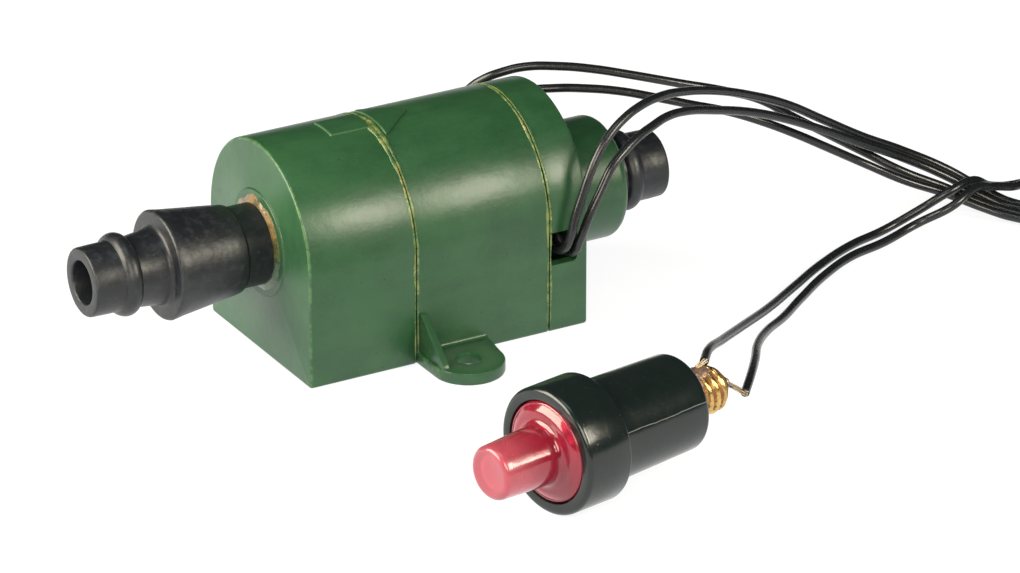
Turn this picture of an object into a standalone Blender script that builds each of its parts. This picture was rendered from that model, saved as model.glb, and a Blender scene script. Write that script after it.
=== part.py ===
"""A small in-line air pump with its remote pilot lamp and four loose leads.

Every size below is in millimetres. A mesh is made in millimetres and scaled to metres in add_piece.
X runs along the air ports from inlet to outlet, Z is up, and the origin is on the base plane,
midway between the two mounting ears. The near side is -Y.
"""
import math

import bmesh
import bpy
from mathutils import Matrix, Vector

MM = 0.001
TOUCH_GAP = 0.3            # between two pieces that touch
RUNNING_CLEARANCE = 0.05   # radial, between a turning piece and its bearing

# Housing: an arch-shaped tube in three sections
BODY_WIDTH = 42.0
AXIS_HEIGHT = 23.3
WALL = 2.2
FRONT_WALL = 2.5
BASE_EDGE_RADIUS = 0.8
FRONT_SECTION = 23.5
MOTOR_SECTION = 29.8
REAR_SECTION = 8.7
EAR_STATION = 31.0         # from the front face to the ear holes
PORT_RING_RADIUS = 10.9
PORT_RING_HEIGHT = 0.4

# Mounting ears and their gussets
EAR_REACH = 7.1            # from the side wall to the hole's centre
EAR_END_RADIUS = 7.3
EAR_ROOT_REAR = 8.4
EAR_THICKNESS = 2.6
EAR_HOLE_RADIUS = 2.5
GUSSET_THICKNESS = 1.5
GUSSET_HEIGHT = 10.9
GUSSET_REACH = 9.8

# Flow arrow moulded on top
ARROW_HEIGHT = 0.4
ARROW_SHAFT_LENGTH = 9.0
ARROW_SHAFT_WIDTH = 6.8
ARROW_HEAD_LENGTH = 7.6
ARROW_HEAD_WIDTH = 13.0

# Cable notches and the rear boss
NOTCH_BOTTOM = 14.4
NOTCH_HEIGHT = 7.0
NOTCH_END_WALL = 2.4
BOSS_WALL = 1.2            # around the outlet adapter's collar
BOSS_LENGTH = 15.0
BOSS_DROP = 2.3            # the outlet's axis lies this far below the arch's
BOSS_EDGE_RADIUS = 2.0
BOSS_LIP = 3.6

# Hose adapters
BORE_RADIUS = 4.4
NECK_RADIUS = 8.2
NECK_LENGTH = 6.5
FLANGE_THICKNESS = 1.3
COLLAR_LENGTH = 15.9
REAR_COLLAR_LENGTH = 14.0
COLLAR_SMALL_RADIUS = 8.9
COLLAR_LARGE_RADIUS = 11.0
SPIGOT_ROOT_RADIUS = 7.6
SPIGOT_RADIUS = 7.0
BEAD_OFFSET = 8.2          # from the collar's end to the bead's crown
BEAD_RADIUS = 8.3
BEAD_WIDTH = 3.6
SPIGOT_END = 8.0           # from the bead's crown to the tip
FILTER_RADIUS = 5.9
FILTER_THICKNESS = 1.8

# Motor
CAN_RADIUS = 13.8
CAN_WALL = 1.2
BULKHEAD_THICKNESS = 2.5
END_BELL_LENGTH = 6.2
END_BELL_WALL = 1.6
END_BELL_STEP = 0.3        # the end bell is this much smaller than the can
MOTOR_REAR_CLEARANCE = 0.9
MAGNET_THICKNESS = 2.4
MAGNET_SPAN = 140.0
AIR_GAP = 0.5
SHAFT_RADIUS = 1.15
BEARING_WALL = 1.8
FRONT_BEARING_LENGTH = 4.5
REAR_BEARING_LENGTH = 1.8
POLE_COUNT = 3
STEM_WIDTH = 3.0
SHOE_THICKNESS = 2.4       # at the middle of a pole's shoe
WINDING_OVERHANG = 1.8
WINDING_HALF_WIDTH = 4.6
WINDING_INNER = 3.4
COMMUTATOR_RADIUS = 3.0
COMMUTATOR_LENGTH = 5.0
BRUSH_LENGTH = 4.0
BRUSH_WIDTH = 2.0
BRUSH_HEIGHT = 2.4
BRUSH_LIFT = 0.8
TERMINAL_REACH = 5.0       # how far a terminal stands out behind the end bell
TERMINAL_HEIGHT = 3.0
TERMINAL_THICKNESS = 0.8
TERMINAL_OFFSET = 9.0
SCREW_RADIUS = 1.0
SCREW_HEAD_RADIUS = 1.9
SCREW_HEAD_LENGTH = 1.5
SCREW_OFFSET = 8.0

# Crank and pump head
CRANK_THROW = 1.2
HEAD_REAR_CLEARANCE = 1.8
HEAD_WIDTH = 24.0
BASE_HEIGHT = 3.2
BASE_FLOOR = 0.8
VALVE_PLATE_THICKNESS = 1.8
CHAMBER_HEIGHT = 3.4
CLAMP_RING_HEIGHT = 1.5
RIM_WIDTH = 1.9
RIM_MARGIN = 0.15
DIAPHRAGM_THICKNESS = 0.6
CLAMP_DISC_THICKNESS = 1.0
CLAMP_DISC_MARGIN = 1.2
STUD_RADIUS = 1.0
STUD_LENGTH = 5.0
FLAP_THICKNESS = 0.3
FLAP_WIDTH = 4.0
PORT_RADIUS = 1.1
PORT_OFFSET = 3.4
ROD_WIDTH = 3.6
ROD_RING_WALL = 1.2
ROD_SHANK_HALF = 2.0
BUSH_WALL = 0.9
CRANKPIN_RADIUS = 1.95
FOOT_RADIUS = 3.2
FOOT_THICKNESS = 1.2
HUB_RADIUS = 4.5
HUB_LENGTH = 6.0
COUNTERWEIGHT_THICKNESS = 2.5
COUNTERWEIGHT_CLEARANCE = 0.6
DUCT_WIDTH = 10.0
DUCT_WALL = 0.6
DUCT_CLEARANCE = 1.7

# Pilot lamp, lying beside the pump. U runs from its front face to its cap.
LAMP_FACE = (-17.7, -89.4)
LAMP_YAW = 11.9
BEZEL_RADIUS = 12.6
BEZEL_LENGTH = 10.5
HOLDER_LENGTH = 33.4
HOLDER_RADIUS = 10.15
HOLDER_END_RADIUS = 9.6
HOLDER_EDGE_RADIUS = 0.9
LENS_FLANGE_RADIUS = 9.9
LENS_FLANGE_THICKNESS = 2.2
LENS_DOME = 0.5
LENS_STEM_LENGTH = 14.0
LENS_STEM_RADIUS = 5.9
LENS_TIP_RADIUS = 5.35
LENS_WALL = 1.4
LENS_SKIRT_LENGTH = 5.8
CAP_RADIUS = 4.76
CAP_ROOT_RADIUS = 4.15
CAP_PITCH = 1.81
CAP_RIDGES = 4
CAP_PLAIN = 2.0            # plain shell between the holder and the first ridge
CAP_INSIDE = 3.6
GLASS_RADIUS = 4.6
GLASS_LENGTH = 15.4
GLASS_WALL = 0.5
CAP_TAPER = 1.4            # from the last ridge to the cap's rear end
INSULATOR_THICKNESS = 0.6
CONTACT_RADIUS = 1.7
CONTACT_LENGTH = 1.1
SOLDER_RADIUS = 1.5
SOLDER_OFFSET = 4.2        # from the holder's rear face to the blob on the cap

# Leads
LEAD_DIAMETER = 1.8
LEAD_STEP = 5.2
COIL_RADIUS = 9.9          # at the middle of the turns
COIL_BAND = 4.9            # from the innermost turn to the outermost
COIL_LAYERS = 4
COIL_LAYER_HEIGHT = 1.95
LAMP_COIL = (158.0, -22.0)
SUPPLY_COIL = (138.0, -51.0)

# The leads' routes: hand-placed points that a smooth curve runs through
LAMP_OUT_A = [
    (24.0, -10.3, 22.2), (24.1, -14.0, 19.4), (24.4, -18.0, 17.2), (25.0, -21.7, 17.8), (25.7, -23.5, 21.2),
    (26.6, -23.7, 25.2), (28.1, -23.7, 29.2),
    (29.8, -23.6, 33.4), (32.0, -23.2, 37.3), (35.0, -22.4, 40.4), (39.1, -21.2, 42.7), (43.4, -19.8, 43.8),
    (49.2, -17.4, 43.7), (56.0, -14.4, 42.2), (66.3, -11.0, 39.0), (76.3, -8.4, 34.9), (86.0, -6.4, 30.1),
    (95.2, -5.0, 24.4), (105.6, -4.0, 18.0), (115.9, -3.4, 12.4), (124.9, -6.0, 7.4), (131.2, -10.8, 3.2),
    (134.9, -15.4, 1.3), (140.9, -22.3, 1.0), (148.2, -29.4, 1.0),
]
LAMP_OUT_B = [
    (24.6, -10.3, 24.6), (25.9, -13.6, 22.2), (26.6, -16.6, 18.6), (26.9, -19.4, 16.4), (27.3, -21.9, 16.8),
    (28.0, -23.3, 20.0), (29.6, -23.7, 24.4),
    (32.9, -23.2, 29.8), (35.5, -22.6, 33.5), (39.0, -21.6, 35.9), (43.2, -20.2, 37.7), (46.9, -18.8, 38.4),
    (51.1, -17.2, 38.9), (56.3, -15.4, 38.3), (65.3, -12.6, 35.6), (74.9, -10.4, 32.3), (84.4, -8.6, 28.1),
    (93.7, -7.4, 23.3), (104.1, -6.4, 17.6), (114.4, -5.8, 12.0), (123.3, -8.6, 7.0), (129.5, -13.2, 3.0),
    (133.4, -17.6, 1.4), (139.4, -24.6, 2.2), (148.2, -29.4, 4.9),
]
SUPPLY_OUT_A = [
    (24.0, 10.3, 22.2), (24.1, 14.0, 19.4), (24.4, 18.0, 17.2), (25.0, 21.7, 17.8), (25.4, 23.7, 21.4),
    (25.6, 23.9, 26.4), (26.0, 22.8, 31.6), (27.2, 20.2, 36.0), (29.4, 17.6, 38.8), (32.2, 15.7, 40.3),
    (36.4, 14.0, 41.2), (43.0, 11.5, 40.9),
    (49.7, 9.0, 39.8), (56.5, 6.5, 38.1), (66.6, 3.0, 35.3), (75.0, 1.0, 32.8), (83.0, -0.2, 29.6),
    (90.4, -0.8, 24.6), (98.2, -1.4, 19.4), (106.8, -3.0, 13.8), (113.4, -7.2, 9.8), (121.9, -10.8, 5.6),
    (128.0, -15.4, 2.6), (131.9, -19.9, 1.4), (139.6, -31.0, 1.0), (147.8, -43.6, 1.0),
]
SUPPLY_OUT_B = [
    (24.6, 10.3, 24.6), (25.9, 13.6, 22.2), (26.6, 16.6, 18.6), (26.9, 19.4, 16.4), (27.3, 21.9, 16.8),
    (28.2, 23.5, 20.0), (29.6, 23.4, 24.6), (31.6, 21.8, 29.4), (34.2, 19.2, 32.6), (38.2, 16.6, 34.6),
    (43.3, 14.0, 35.1), (49.1, 12.0, 34.6), (55.9, 9.5, 33.5),
    (62.6, 6.6, 31.8), (69.0, 3.0, 30.2), (75.6, 0.2, 28.4), (82.0, -2.0, 25.8), (89.4, -3.6, 22.0),
    (97.6, -4.8, 17.2), (105.4, -6.2, 12.6), (112.2, -9.8, 9.0), (120.3, -13.4, 5.6), (126.5, -17.8, 2.8),
    (130.5, -22.2, 1.6), (138.2, -33.2, 2.4), (147.8, -43.6, 4.9),
]
LAMP_BACK_A = [
    (158.0, -9.7, 2.9), (147.0, -10.4, 3.0), (137.4, -13.0, 3.8), (130.4, -14.4, 5.6), (124.9, -16.0, 8.6),
    (118.8, -17.2, 8.0), (112.4, -14.8, 4.0), (105.3, -14.0, 1.2), (95.4, -16.9, 1.1), (84.5, -22.8, 1.6),
    (73.0, -31.5, 3.0), (59.7, -43.2, 6.0), (46.0, -55.8, 10.4), (33.6, -67.9, 15.0), (25.6, -76.2, 18.2),
    (21.4, -81.6, 19.0),
]
LAMP_BACK_B = [
    (158.0, -9.7, 6.8), (147.0, -11.2, 6.0), (136.9, -15.6, 4.8), (129.6, -17.0, 6.6), (123.6, -19.2, 8.4),
    (116.8, -20.6, 6.2), (110.9, -17.4, 2.6), (102.0, -19.0, 1.1), (92.3, -21.7, 1.1), (83.4, -26.4, 1.1),
    (72.2, -35.0, 1.8), (62.9, -43.4, 3.2), (54.0, -51.6, 5.6), (45.9, -61.2, 8.4), (39.6, -70.5, 10.5),
    (33.6, -78.6, 11.6), (29.2, -83.9, 11.5),
]
SUPPLY_TAIL_A = [
    (150.3, -51.0, 2.9), (150.6, -57.0, 2.6), (151.6, -64.0, 1.4), (153.4, -71.0, 1.0), (156.0, -77.0, 1.0),
]
SUPPLY_TAIL_B = [
    (150.3, -51.0, 6.8), (150.1, -57.0, 6.2), (149.2, -64.0, 3.4), (148.2, -72.0, 1.2), (146.4, -80.0, 1.0),
]

# Places that follow from the sizes
FRONT_X = -EAR_STATION
SEAM_1 = FRONT_X + FRONT_SECTION
SEAM_2 = SEAM_1 + MOTOR_SECTION
REAR_X = SEAM_2 + REAR_SECTION
HALF_WIDTH = BODY_WIDTH / 2
INNER_HALF_WIDTH = HALF_WIDTH - WALL
ARCH_TOP = AXIS_HEIGHT + HALF_WIDTH
OUTLET_HEIGHT = AXIS_HEIGHT - BOSS_DROP
FLOOR_Z = WALL + TOUCH_GAP
HOLE_CLEARANCE = TOUCH_GAP

HEAD_FRONT = FRONT_X + FRONT_WALL + TOUCH_GAP
HEAD_LENGTH = FRONT_SECTION - FRONT_WALL - TOUCH_GAP - HEAD_REAR_CLEARANCE
HEAD_X = HEAD_FRONT + HEAD_LENGTH / 2
HEAD_REAR = HEAD_FRONT + HEAD_LENGTH
BASE_TOP = FLOOR_Z + BASE_HEIGHT
PLATE_BOTTOM = BASE_TOP + TOUCH_GAP
PLATE_TOP = PLATE_BOTTOM + VALVE_PLATE_THICKNESS
RING_BOTTOM = PLATE_TOP + TOUCH_GAP
RING_TOP = RING_BOTTOM + CHAMBER_HEIGHT
RIM_BOTTOM = RING_TOP + TOUCH_GAP
RIM_TOP = RIM_BOTTOM + DIAPHRAGM_THICKNESS
CLAMP_RING_BOTTOM = RIM_TOP + TOUCH_GAP
CLAMP_RING_TOP = CLAMP_RING_BOTTOM + CLAMP_RING_HEIGHT
RIM_RADIUS = HEAD_LENGTH / 2 - RIM_MARGIN
CHAMBER_RADIUS = RIM_RADIUS - RIM_WIDTH
DISC_RADIUS = CHAMBER_RADIUS - CRANK_THROW - CLAMP_DISC_MARGIN
DISC_LOW_TOP = RIM_BOTTOM + CRANK_THROW - TOUCH_GAP
DISC_HIGH_BOTTOM = RIM_TOP + CRANK_THROW + TOUCH_GAP
DISC_HIGH_TOP = DISC_HIGH_BOTTOM + CLAMP_DISC_THICKNESS
FOOT_BOTTOM = DISC_HIGH_TOP + TOUCH_GAP
FLAP_LENGTH = CHAMBER_RADIUS - RIM_WIDTH

PIN_HEIGHT = AXIS_HEIGHT + CRANK_THROW
BUSH_BORE = CRANKPIN_RADIUS + RUNNING_CLEARANCE
BUSH_RADIUS = BUSH_BORE + BUSH_WALL
ROD_BORE = BUSH_RADIUS + TOUCH_GAP
ROD_RING_RADIUS = ROD_BORE + ROD_RING_WALL
HUB_FRONT = HEAD_X + ROD_WIDTH / 2 + 0.5
HUB_REAR = HUB_FRONT + HUB_LENGTH
COUNTERWEIGHT_RADIUS = AXIS_HEIGHT - DISC_HIGH_TOP - COUNTERWEIGHT_CLEARANCE
FLANGE_RADIUS = AXIS_HEIGHT - CLAMP_RING_TOP - TOUCH_GAP

BULKHEAD_FRONT = SEAM_1 + TOUCH_GAP
BULKHEAD_REAR = BULKHEAD_FRONT + BULKHEAD_THICKNESS
CAN_FRONT = BULKHEAD_REAR + TOUCH_GAP
MOTOR_REAR = SEAM_2 - MOTOR_REAR_CLEARANCE
END_BELL_FRONT = MOTOR_REAR - END_BELL_LENGTH
CAN_REAR = END_BELL_FRONT - TOUCH_GAP
MAGNET_RADIUS = CAN_RADIUS - CAN_WALL - TOUCH_GAP
MAGNET_BORE = MAGNET_RADIUS - MAGNET_THICKNESS
CORE_RADIUS = MAGNET_BORE - AIR_GAP
SHOE_CHORD = CORE_RADIUS - SHOE_THICKNESS
CORE_FRONT = CAN_FRONT + CAN_WALL + WINDING_OVERHANG + 1.4
CORE_REAR = CAN_REAR - WINDING_OVERHANG - 2.1
CORE_MIDDLE = (CORE_FRONT + CORE_REAR) / 2
COMMUTATOR_FRONT = CORE_REAR + WINDING_OVERHANG + 1.2
COMMUTATOR_REAR = COMMUTATOR_FRONT + COMMUTATOR_LENGTH
BRUSH_X = COMMUTATOR_REAR - BRUSH_WIDTH
BEARING_BORE = SHAFT_RADIUS + RUNNING_CLEARANCE
BEARING_RADIUS = BEARING_BORE + BEARING_WALL
END_BELL_RADIUS = CAN_RADIUS - END_BELL_STEP
BOSS_RADIUS = COLLAR_LARGE_RADIUS + TOUCH_GAP + BOSS_WALL
DUCT_TOP = AXIS_HEIGHT - CAN_RADIUS - DUCT_CLEARANCE
DUCT_FRONT = HEAD_REAR + TOUCH_GAP
DUCT_REAR = SEAM_2 + 1.5

LAMP_AXIS = Vector((math.cos(math.radians(LAMP_YAW)), math.sin(math.radians(LAMP_YAW)), 0.0))
LAMP_ORIGIN = Vector((*LAMP_FACE, BEZEL_RADIUS))
CAP_START = HOLDER_LENGTH - CAP_INSIDE
CAP_END = HOLDER_LENGTH + CAP_PLAIN + CAP_RIDGES * CAP_PITCH


# ---------------------------------------------------------------- materials

COLOURS = {
    "green_abs": ((0.075, 0.19, 0.075), 0.38, 0.0),
    "black_rubber": ((0.022, 0.024, 0.026), 0.55, 0.0),
    "filter_foam": ((0.20, 0.20, 0.19), 0.95, 0.0),
    "steel": ((0.55, 0.55, 0.54), 0.35, 1.0),
    "magnet": ((0.06, 0.06, 0.065), 0.6, 0.0),
    "laminations": ((0.34, 0.34, 0.35), 0.45, 1.0),
    "copper": ((0.75, 0.33, 0.16), 0.35, 1.0),
    "bronze": ((0.55, 0.36, 0.18), 0.45, 1.0),
    "carbon": ((0.04, 0.04, 0.04), 0.7, 0.0),
    "white_nylon": ((0.78, 0.76, 0.70), 0.45, 0.0),
    "grey_plastic": ((0.25, 0.26, 0.27), 0.5, 0.0),
    "zinc": ((0.60, 0.60, 0.58), 0.45, 1.0),
    "diaphragm_rubber": ((0.05, 0.05, 0.05), 0.7, 0.0),
    "black_bakelite": ((0.012, 0.014, 0.013), 0.18, 0.0),
    "red_lens": ((0.75, 0.12, 0.16), 0.15, 0.0),
    "bulb_glass": ((0.9, 0.9, 0.88), 0.05, 0.0),
    "brass": ((0.62, 0.42, 0.16), 0.38, 1.0),
    "solder": ((0.40, 0.28, 0.20), 0.45, 0.8),
    "black_pvc": ((0.010, 0.011, 0.012), 0.3, 0.0),
}


def material(name):
    """The named Principled material, made once."""
    found = bpy.data.materials.get(name)
    if found:
        return found
    colour, roughness, metallic = COLOURS[name]
    made = bpy.data.materials.new(name)
    made.use_nodes = True
    shader = made.node_tree.nodes["Principled BSDF"]
    shader.inputs["Base Color"].default_value = (*colour, 1.0)
    shader.inputs["Roughness"].default_value = roughness
    shader.inputs["Metallic"].default_value = metallic
    return made


# ---------------------------------------------------------------- pieces and modelling helpers

def add_piece(name, bm, finish, pivot=(0.0, 0.0, 0.0), smooth_angle=35.0):
    """Makes the object: the mesh leaves millimetres here, and the object's origin sits at pivot."""
    bmesh.ops.recalc_face_normals(bm, faces=bm.faces)
    bm.transform(Matrix.Scale(MM, 4) @ Matrix.Translation(-Vector(pivot)))
    mesh = bpy.data.meshes.new(name)
    bm.to_mesh(mesh)
    bm.free()
    piece = bpy.data.objects.new(name, mesh)
    piece.location = Vector(pivot) * MM
    bpy.context.scene.collection.objects.link(piece)
    if finish:
        mesh.materials.append(material(finish))
        mesh.shade_smooth()
        mesh.set_sharp_from_angle(angle=math.radians(smooth_angle))
    return piece


def tool(bm, name="cutter"):
    """A shape that is only used by a Boolean and isn't part of the object."""
    shape = add_piece(name, bm, None)
    shape.hide_render = True
    shape.display_type = "WIRE"
    return shape


def boolean(piece, operation, *shapes):
    """Adds one exact Boolean for each shape."""
    for shape in shapes:
        step = piece.modifiers.new(operation.lower(), "BOOLEAN")
        step.operation = operation
        step.solver = "EXACT"
        step.object = shape
    return piece


def cut(piece, *shapes):
    return boolean(piece, "DIFFERENCE", *[tool(shape) for shape in shapes])


def join(piece, *shapes):
    return boolean(piece, "UNION", *[tool(shape, "added_shape") for shape in shapes])


def prism(outline, axis, low, high):
    """An outline pushed along an axis. Its points are (y, z) on X, (x, z) on Y and (x, y) on Z."""
    place = {
        "X": lambda a, b, t: (t, a, b),
        "Y": lambda a, b, t: (a, t, b),
        "Z": lambda a, b, t: (a, b, t),
    }[axis]
    bm = bmesh.new()
    lows = [bm.verts.new(place(a, b, low)) for a, b in outline]
    highs = [bm.verts.new(place(a, b, high)) for a, b in outline]
    bm.faces.new(lows)
    bm.faces.new(highs)
    for i in range(len(outline)):
        j = (i + 1) % len(outline)
        bm.faces.new((lows[i], lows[j], highs[j], highs[i]))
    return bm


def sleeve(outer, inner, axis, low, high):
    """A tube between two outlines that have the same number of points."""
    place = {
        "X": lambda a, b, t: (t, a, b),
        "Y": lambda a, b, t: (a, t, b),
        "Z": lambda a, b, t: (a, b, t),
    }[axis]
    bm = bmesh.new()
    loops = [
        [bm.verts.new(place(a, b, t)) for a, b in outline]
        for outline, t in ((outer, low), (outer, high), (inner, high), (inner, low))
    ]
    for k in range(4):
        first, second = loops[k], loops[(k + 1) % 4]
        for i in range(len(outer)):
            j = (i + 1) % len(outer)
            bm.faces.new((first[i], first[j], second[j], second[i]))
    return bm


def block(low, high):
    """A box between two corners."""
    outline = [(low[0], low[1]), (high[0], low[1]), (high[0], high[1]), (low[0], high[1])]
    return prism(outline, "Z", low[2], high[2])


def arc(centre, radius, start, end, steps):
    """Points on an arc, in degrees, ends included."""
    return [
        (
            centre[0] + radius * math.cos(math.radians(start + (end - start) * i / steps)),
            centre[1] + radius * math.sin(math.radians(start + (end - start) * i / steps)),
        )
        for i in range(steps + 1)
    ]


def circle(centre, radius, sides=32):
    return arc(centre, radius, 0.0, 360.0 * (sides - 1) / sides, sides - 1)


def turned(profile, origin, direction, sides=32, closed=True):
    """Turns a profile of (along, radius) points. An open profile starts and ends on the axis."""
    direction = Vector(direction).normalized()
    side = direction.cross(Vector((0, 0, 1)))
    side = side.normalized() if side.length > 1e-6 else Vector((1, 0, 0))
    up = side.cross(direction)
    origin = Vector(origin)
    bm = bmesh.new()

    def ring(along, radius):
        places = []
        for k in range(sides):
            turn = 2 * math.pi * k / sides
            offset = -up * math.cos(turn) + side * math.sin(turn)
            places.append(bm.verts.new(origin + direction * along + offset * radius))
        return places

    on_axis = [] if closed else [profile[0], profile[-1]]
    rings = [ring(*point) for point in (profile if closed else profile[1:-1])]
    pairs = list(zip(rings, rings[1:]))
    if closed:
        pairs.append((rings[-1], rings[0]))
    for first, second in pairs:
        for k in range(sides):
            m = (k + 1) % sides
            bm.faces.new((first[k], first[m], second[m], second[k]))
    for (along, _), (next_along, _), end in zip(on_axis, (profile[1], profile[-2]), (rings[0], rings[-1])):
        if abs(along - next_along) < 1e-6:
            bm.faces.new(end)
            continue
        pole = bm.verts.new(origin + direction * along)
        for k in range(sides):
            bm.faces.new((end[k], end[(k + 1) % sides], pole))
    return bm


def rod(origin, direction, low, high, radius, sides=20):
    """A plain cylinder along an axis."""
    profile = [(low, 0.0), (low, radius), (high, radius), (high, 0.0)]
    return turned(profile, origin, direction, sides, closed=False)


def pipe(origin, direction, low, high, outer, inner, sides=20):
    """A plain tube along an axis."""
    return turned([(low, outer), (high, outer), (high, inner), (low, inner)], origin, direction, sides)


def arch(inset, low, high, edge_radius=BASE_EDGE_RADIUS):
    """The housing's section, drawn in by inset, pushed along X."""
    half = HALF_WIDTH - inset
    radius = max(edge_radius - inset, 0.2)
    outline = arc((-half + radius, inset + radius), radius, 180.0, 270.0, 3)
    outline += arc((half - radius, inset + radius), radius, 270.0, 360.0, 3)
    outline += arc((0.0, AXIS_HEIGHT), half, 0.0, 180.0, 30)
    return prism(outline, "X", low, high)


MOTOR_AXIS = (0.0, 0.0, AXIS_HEIGHT)
OUTLET_AXIS = (0.0, 0.0, OUTLET_HEIGHT)
ALONG_X = (1.0, 0.0, 0.0)


# ---------------------------------------------------------------- housing

def arrow_piece(stations):
    """A mark that follows the arch's top and stands ARROW_HEIGHT proud, through (x, half width) stations."""
    root = ARCH_TOP - WALL / 2
    radius = HALF_WIDTH + ARROW_HEIGHT
    bm = bmesh.new()
    loops = []
    for x, half in stations:
        lean = math.degrees(math.asin(half / radius))
        outline = [(-half, root - half * 0.3)] + arc((0.0, AXIS_HEIGHT), radius, 90.0 + lean, 90.0 - lean, 8)
        outline.append((half, root - half * 0.3))
        loops.append([bm.verts.new((x, y, z)) for y, z in outline])
    bm.faces.new(loops[0])
    bm.faces.new(loops[-1])
    for first, second in zip(loops, loops[1:]):
        for i in range(len(first)):
            j = (i + 1) % len(first)
            bm.faces.new((first[i], first[j], second[j], second[i]))
    return bm


def front_housing():
    low, high = FRONT_X, SEAM_1 - TOUCH_GAP / 2
    piece = add_piece("front_housing", arch(0.0, low, high), "green_abs")
    join(piece, rod(MOTOR_AXIS, ALONG_X, low - PORT_RING_HEIGHT, low + 1.0, PORT_RING_RADIUS, 36))
    half = ARROW_SHAFT_WIDTH / 2
    start = high - ARROW_SHAFT_LENGTH
    join(piece, arrow_piece([(start, half), (high - TOUCH_GAP, half)]))
    cut(
        piece,
        arch(WALL, low + FRONT_WALL, high + 1.0),
        rod(MOTOR_AXIS, ALONG_X, low - 2.0, low + FRONT_WALL + 1.0, NECK_RADIUS + HOLE_CLEARANCE, 32),
    )


def ear_outline(side):
    """The ear's plan: straight flanks that run into a round end about the hole."""
    centre = (0.0, side * (HALF_WIDTH + EAR_REACH))
    inside = side * (HALF_WIDTH - WALL / 2)
    end = arc(centre, EAR_END_RADIUS, 180.0, 180.0 + side * -180.0, 16)
    root = [(EAR_ROOT_REAR, side * (HALF_WIDTH + 1.5)), (EAR_ROOT_REAR, inside)]
    return [(-EAR_END_RADIUS, inside)] + end + root


def motor_housing():
    low, high = SEAM_1 + TOUCH_GAP / 2, SEAM_2 - TOUCH_GAP / 2
    piece = add_piece("motor_housing", arch(0.0, low, high), "green_abs")
    for side in (-1, 1):
        wall = side * (HALF_WIDTH - WALL / 2)
        foot = side * (HALF_WIDTH + GUSSET_REACH)
        gusset = [
            (wall, EAR_THICKNESS / 2), (foot, EAR_THICKNESS / 2), (foot, EAR_THICKNESS + 0.2),
            (side * (HALF_WIDTH + 0.5), GUSSET_HEIGHT), (wall, GUSSET_HEIGHT),
        ]
        gusset_low = -EAR_END_RADIUS + 0.4
        join(
            piece,
            prism(ear_outline(side), "Z", 0.0, EAR_THICKNESS),
            prism(gusset, "X", gusset_low, gusset_low + GUSSET_THICKNESS),
        )
    base = low + 1.2
    tip_half = 0.2
    steps = 4
    shares = [k / steps for k in range(steps + 1)]
    head = [
        (base + ARROW_HEAD_LENGTH * share, tip_half + (ARROW_HEAD_WIDTH / 2 - tip_half) * (1 - share))
        for share in shares
    ]
    join(piece, arrow_piece(head))
    cut(piece, arch(WALL, low - 1.0, high + 1.0))
    for side in (-1, 1):
        centre = (0.0, side * (HALF_WIDTH + EAR_REACH), 0.0)
        cut(piece, rod(centre, (0, 0, 1), -1.0, EAR_THICKNESS + 1.0, EAR_HOLE_RADIUS, 24))


def rear_cap():
    low, high = SEAM_2 + TOUCH_GAP / 2, REAR_X
    piece = add_piece("rear_cap", arch(0.0, low, high), "green_abs")
    end = high + BOSS_LENGTH
    edge = arc((end - BOSS_EDGE_RADIUS, BOSS_RADIUS - BOSS_EDGE_RADIUS), BOSS_EDGE_RADIUS, 90.0, 0.0, 4)
    boss = [(high - 1.0, 0.0), (high - 1.0, BOSS_RADIUS)] + edge + [(end, 0.0)]
    join(piece, turned(boss, OUTLET_AXIS, ALONG_X, 40, closed=False))
    socket = COLLAR_LARGE_RADIUS + HOLE_CLEARANCE
    cut(
        piece,
        arch(WALL, low - 1.0, high - WALL),
        rod(OUTLET_AXIS, ALONG_X, high - WALL - 1.0, end - BOSS_LIP, socket, 32),
        rod(OUTLET_AXIS, ALONG_X, end - BOSS_LIP - 1.0, end + 1.0, BEAD_RADIUS + HOLE_CLEARANCE, 32),
    )
    for side in (-1, 1):
        inner, outer = sorted((side * (INNER_HALF_WIDTH - 1.0), side * (HALF_WIDTH + 1.0)))
        notch_end = high - NOTCH_END_WALL
        cut(piece, block((low - 1.0, inner, NOTCH_BOTTOM), (notch_end, outer, NOTCH_BOTTOM + NOTCH_HEIGHT)))


def spigot_profile(collar_end):
    """The hose end from the collar's end face to the tip, as (distance from the housing, radius)."""
    crown = collar_end + BEAD_OFFSET
    tip = crown + SPIGOT_END
    bead = arc((crown, SPIGOT_RADIUS), BEAD_WIDTH / 2, 155.0, 25.0, 4)
    rise = (BEAD_RADIUS - SPIGOT_RADIUS) / (BEAD_WIDTH / 2)
    bead = [(along, SPIGOT_RADIUS + (radius - SPIGOT_RADIUS) * rise) for along, radius in bead]
    chamfer = 0.3
    return [
        (collar_end, SPIGOT_ROOT_RADIUS), (crown - BEAD_WIDTH / 2, SPIGOT_RADIUS), *bead,
        (crown + BEAD_WIDTH / 2, SPIGOT_RADIUS), (tip - chamfer, SPIGOT_RADIUS - 0.1),
        (tip, SPIGOT_RADIUS - 0.1 - chamfer), (tip, BORE_RADIUS),
    ]


def collar_profile(start, length):
    """The tapered collar, with small edge radii."""
    edge = 0.5
    end = start + length
    return [
        (start, COLLAR_SMALL_RADIUS - edge), (start + edge, COLLAR_SMALL_RADIUS),
        (end - edge, COLLAR_LARGE_RADIUS), (end, COLLAR_LARGE_RADIUS - edge),
    ]


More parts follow.
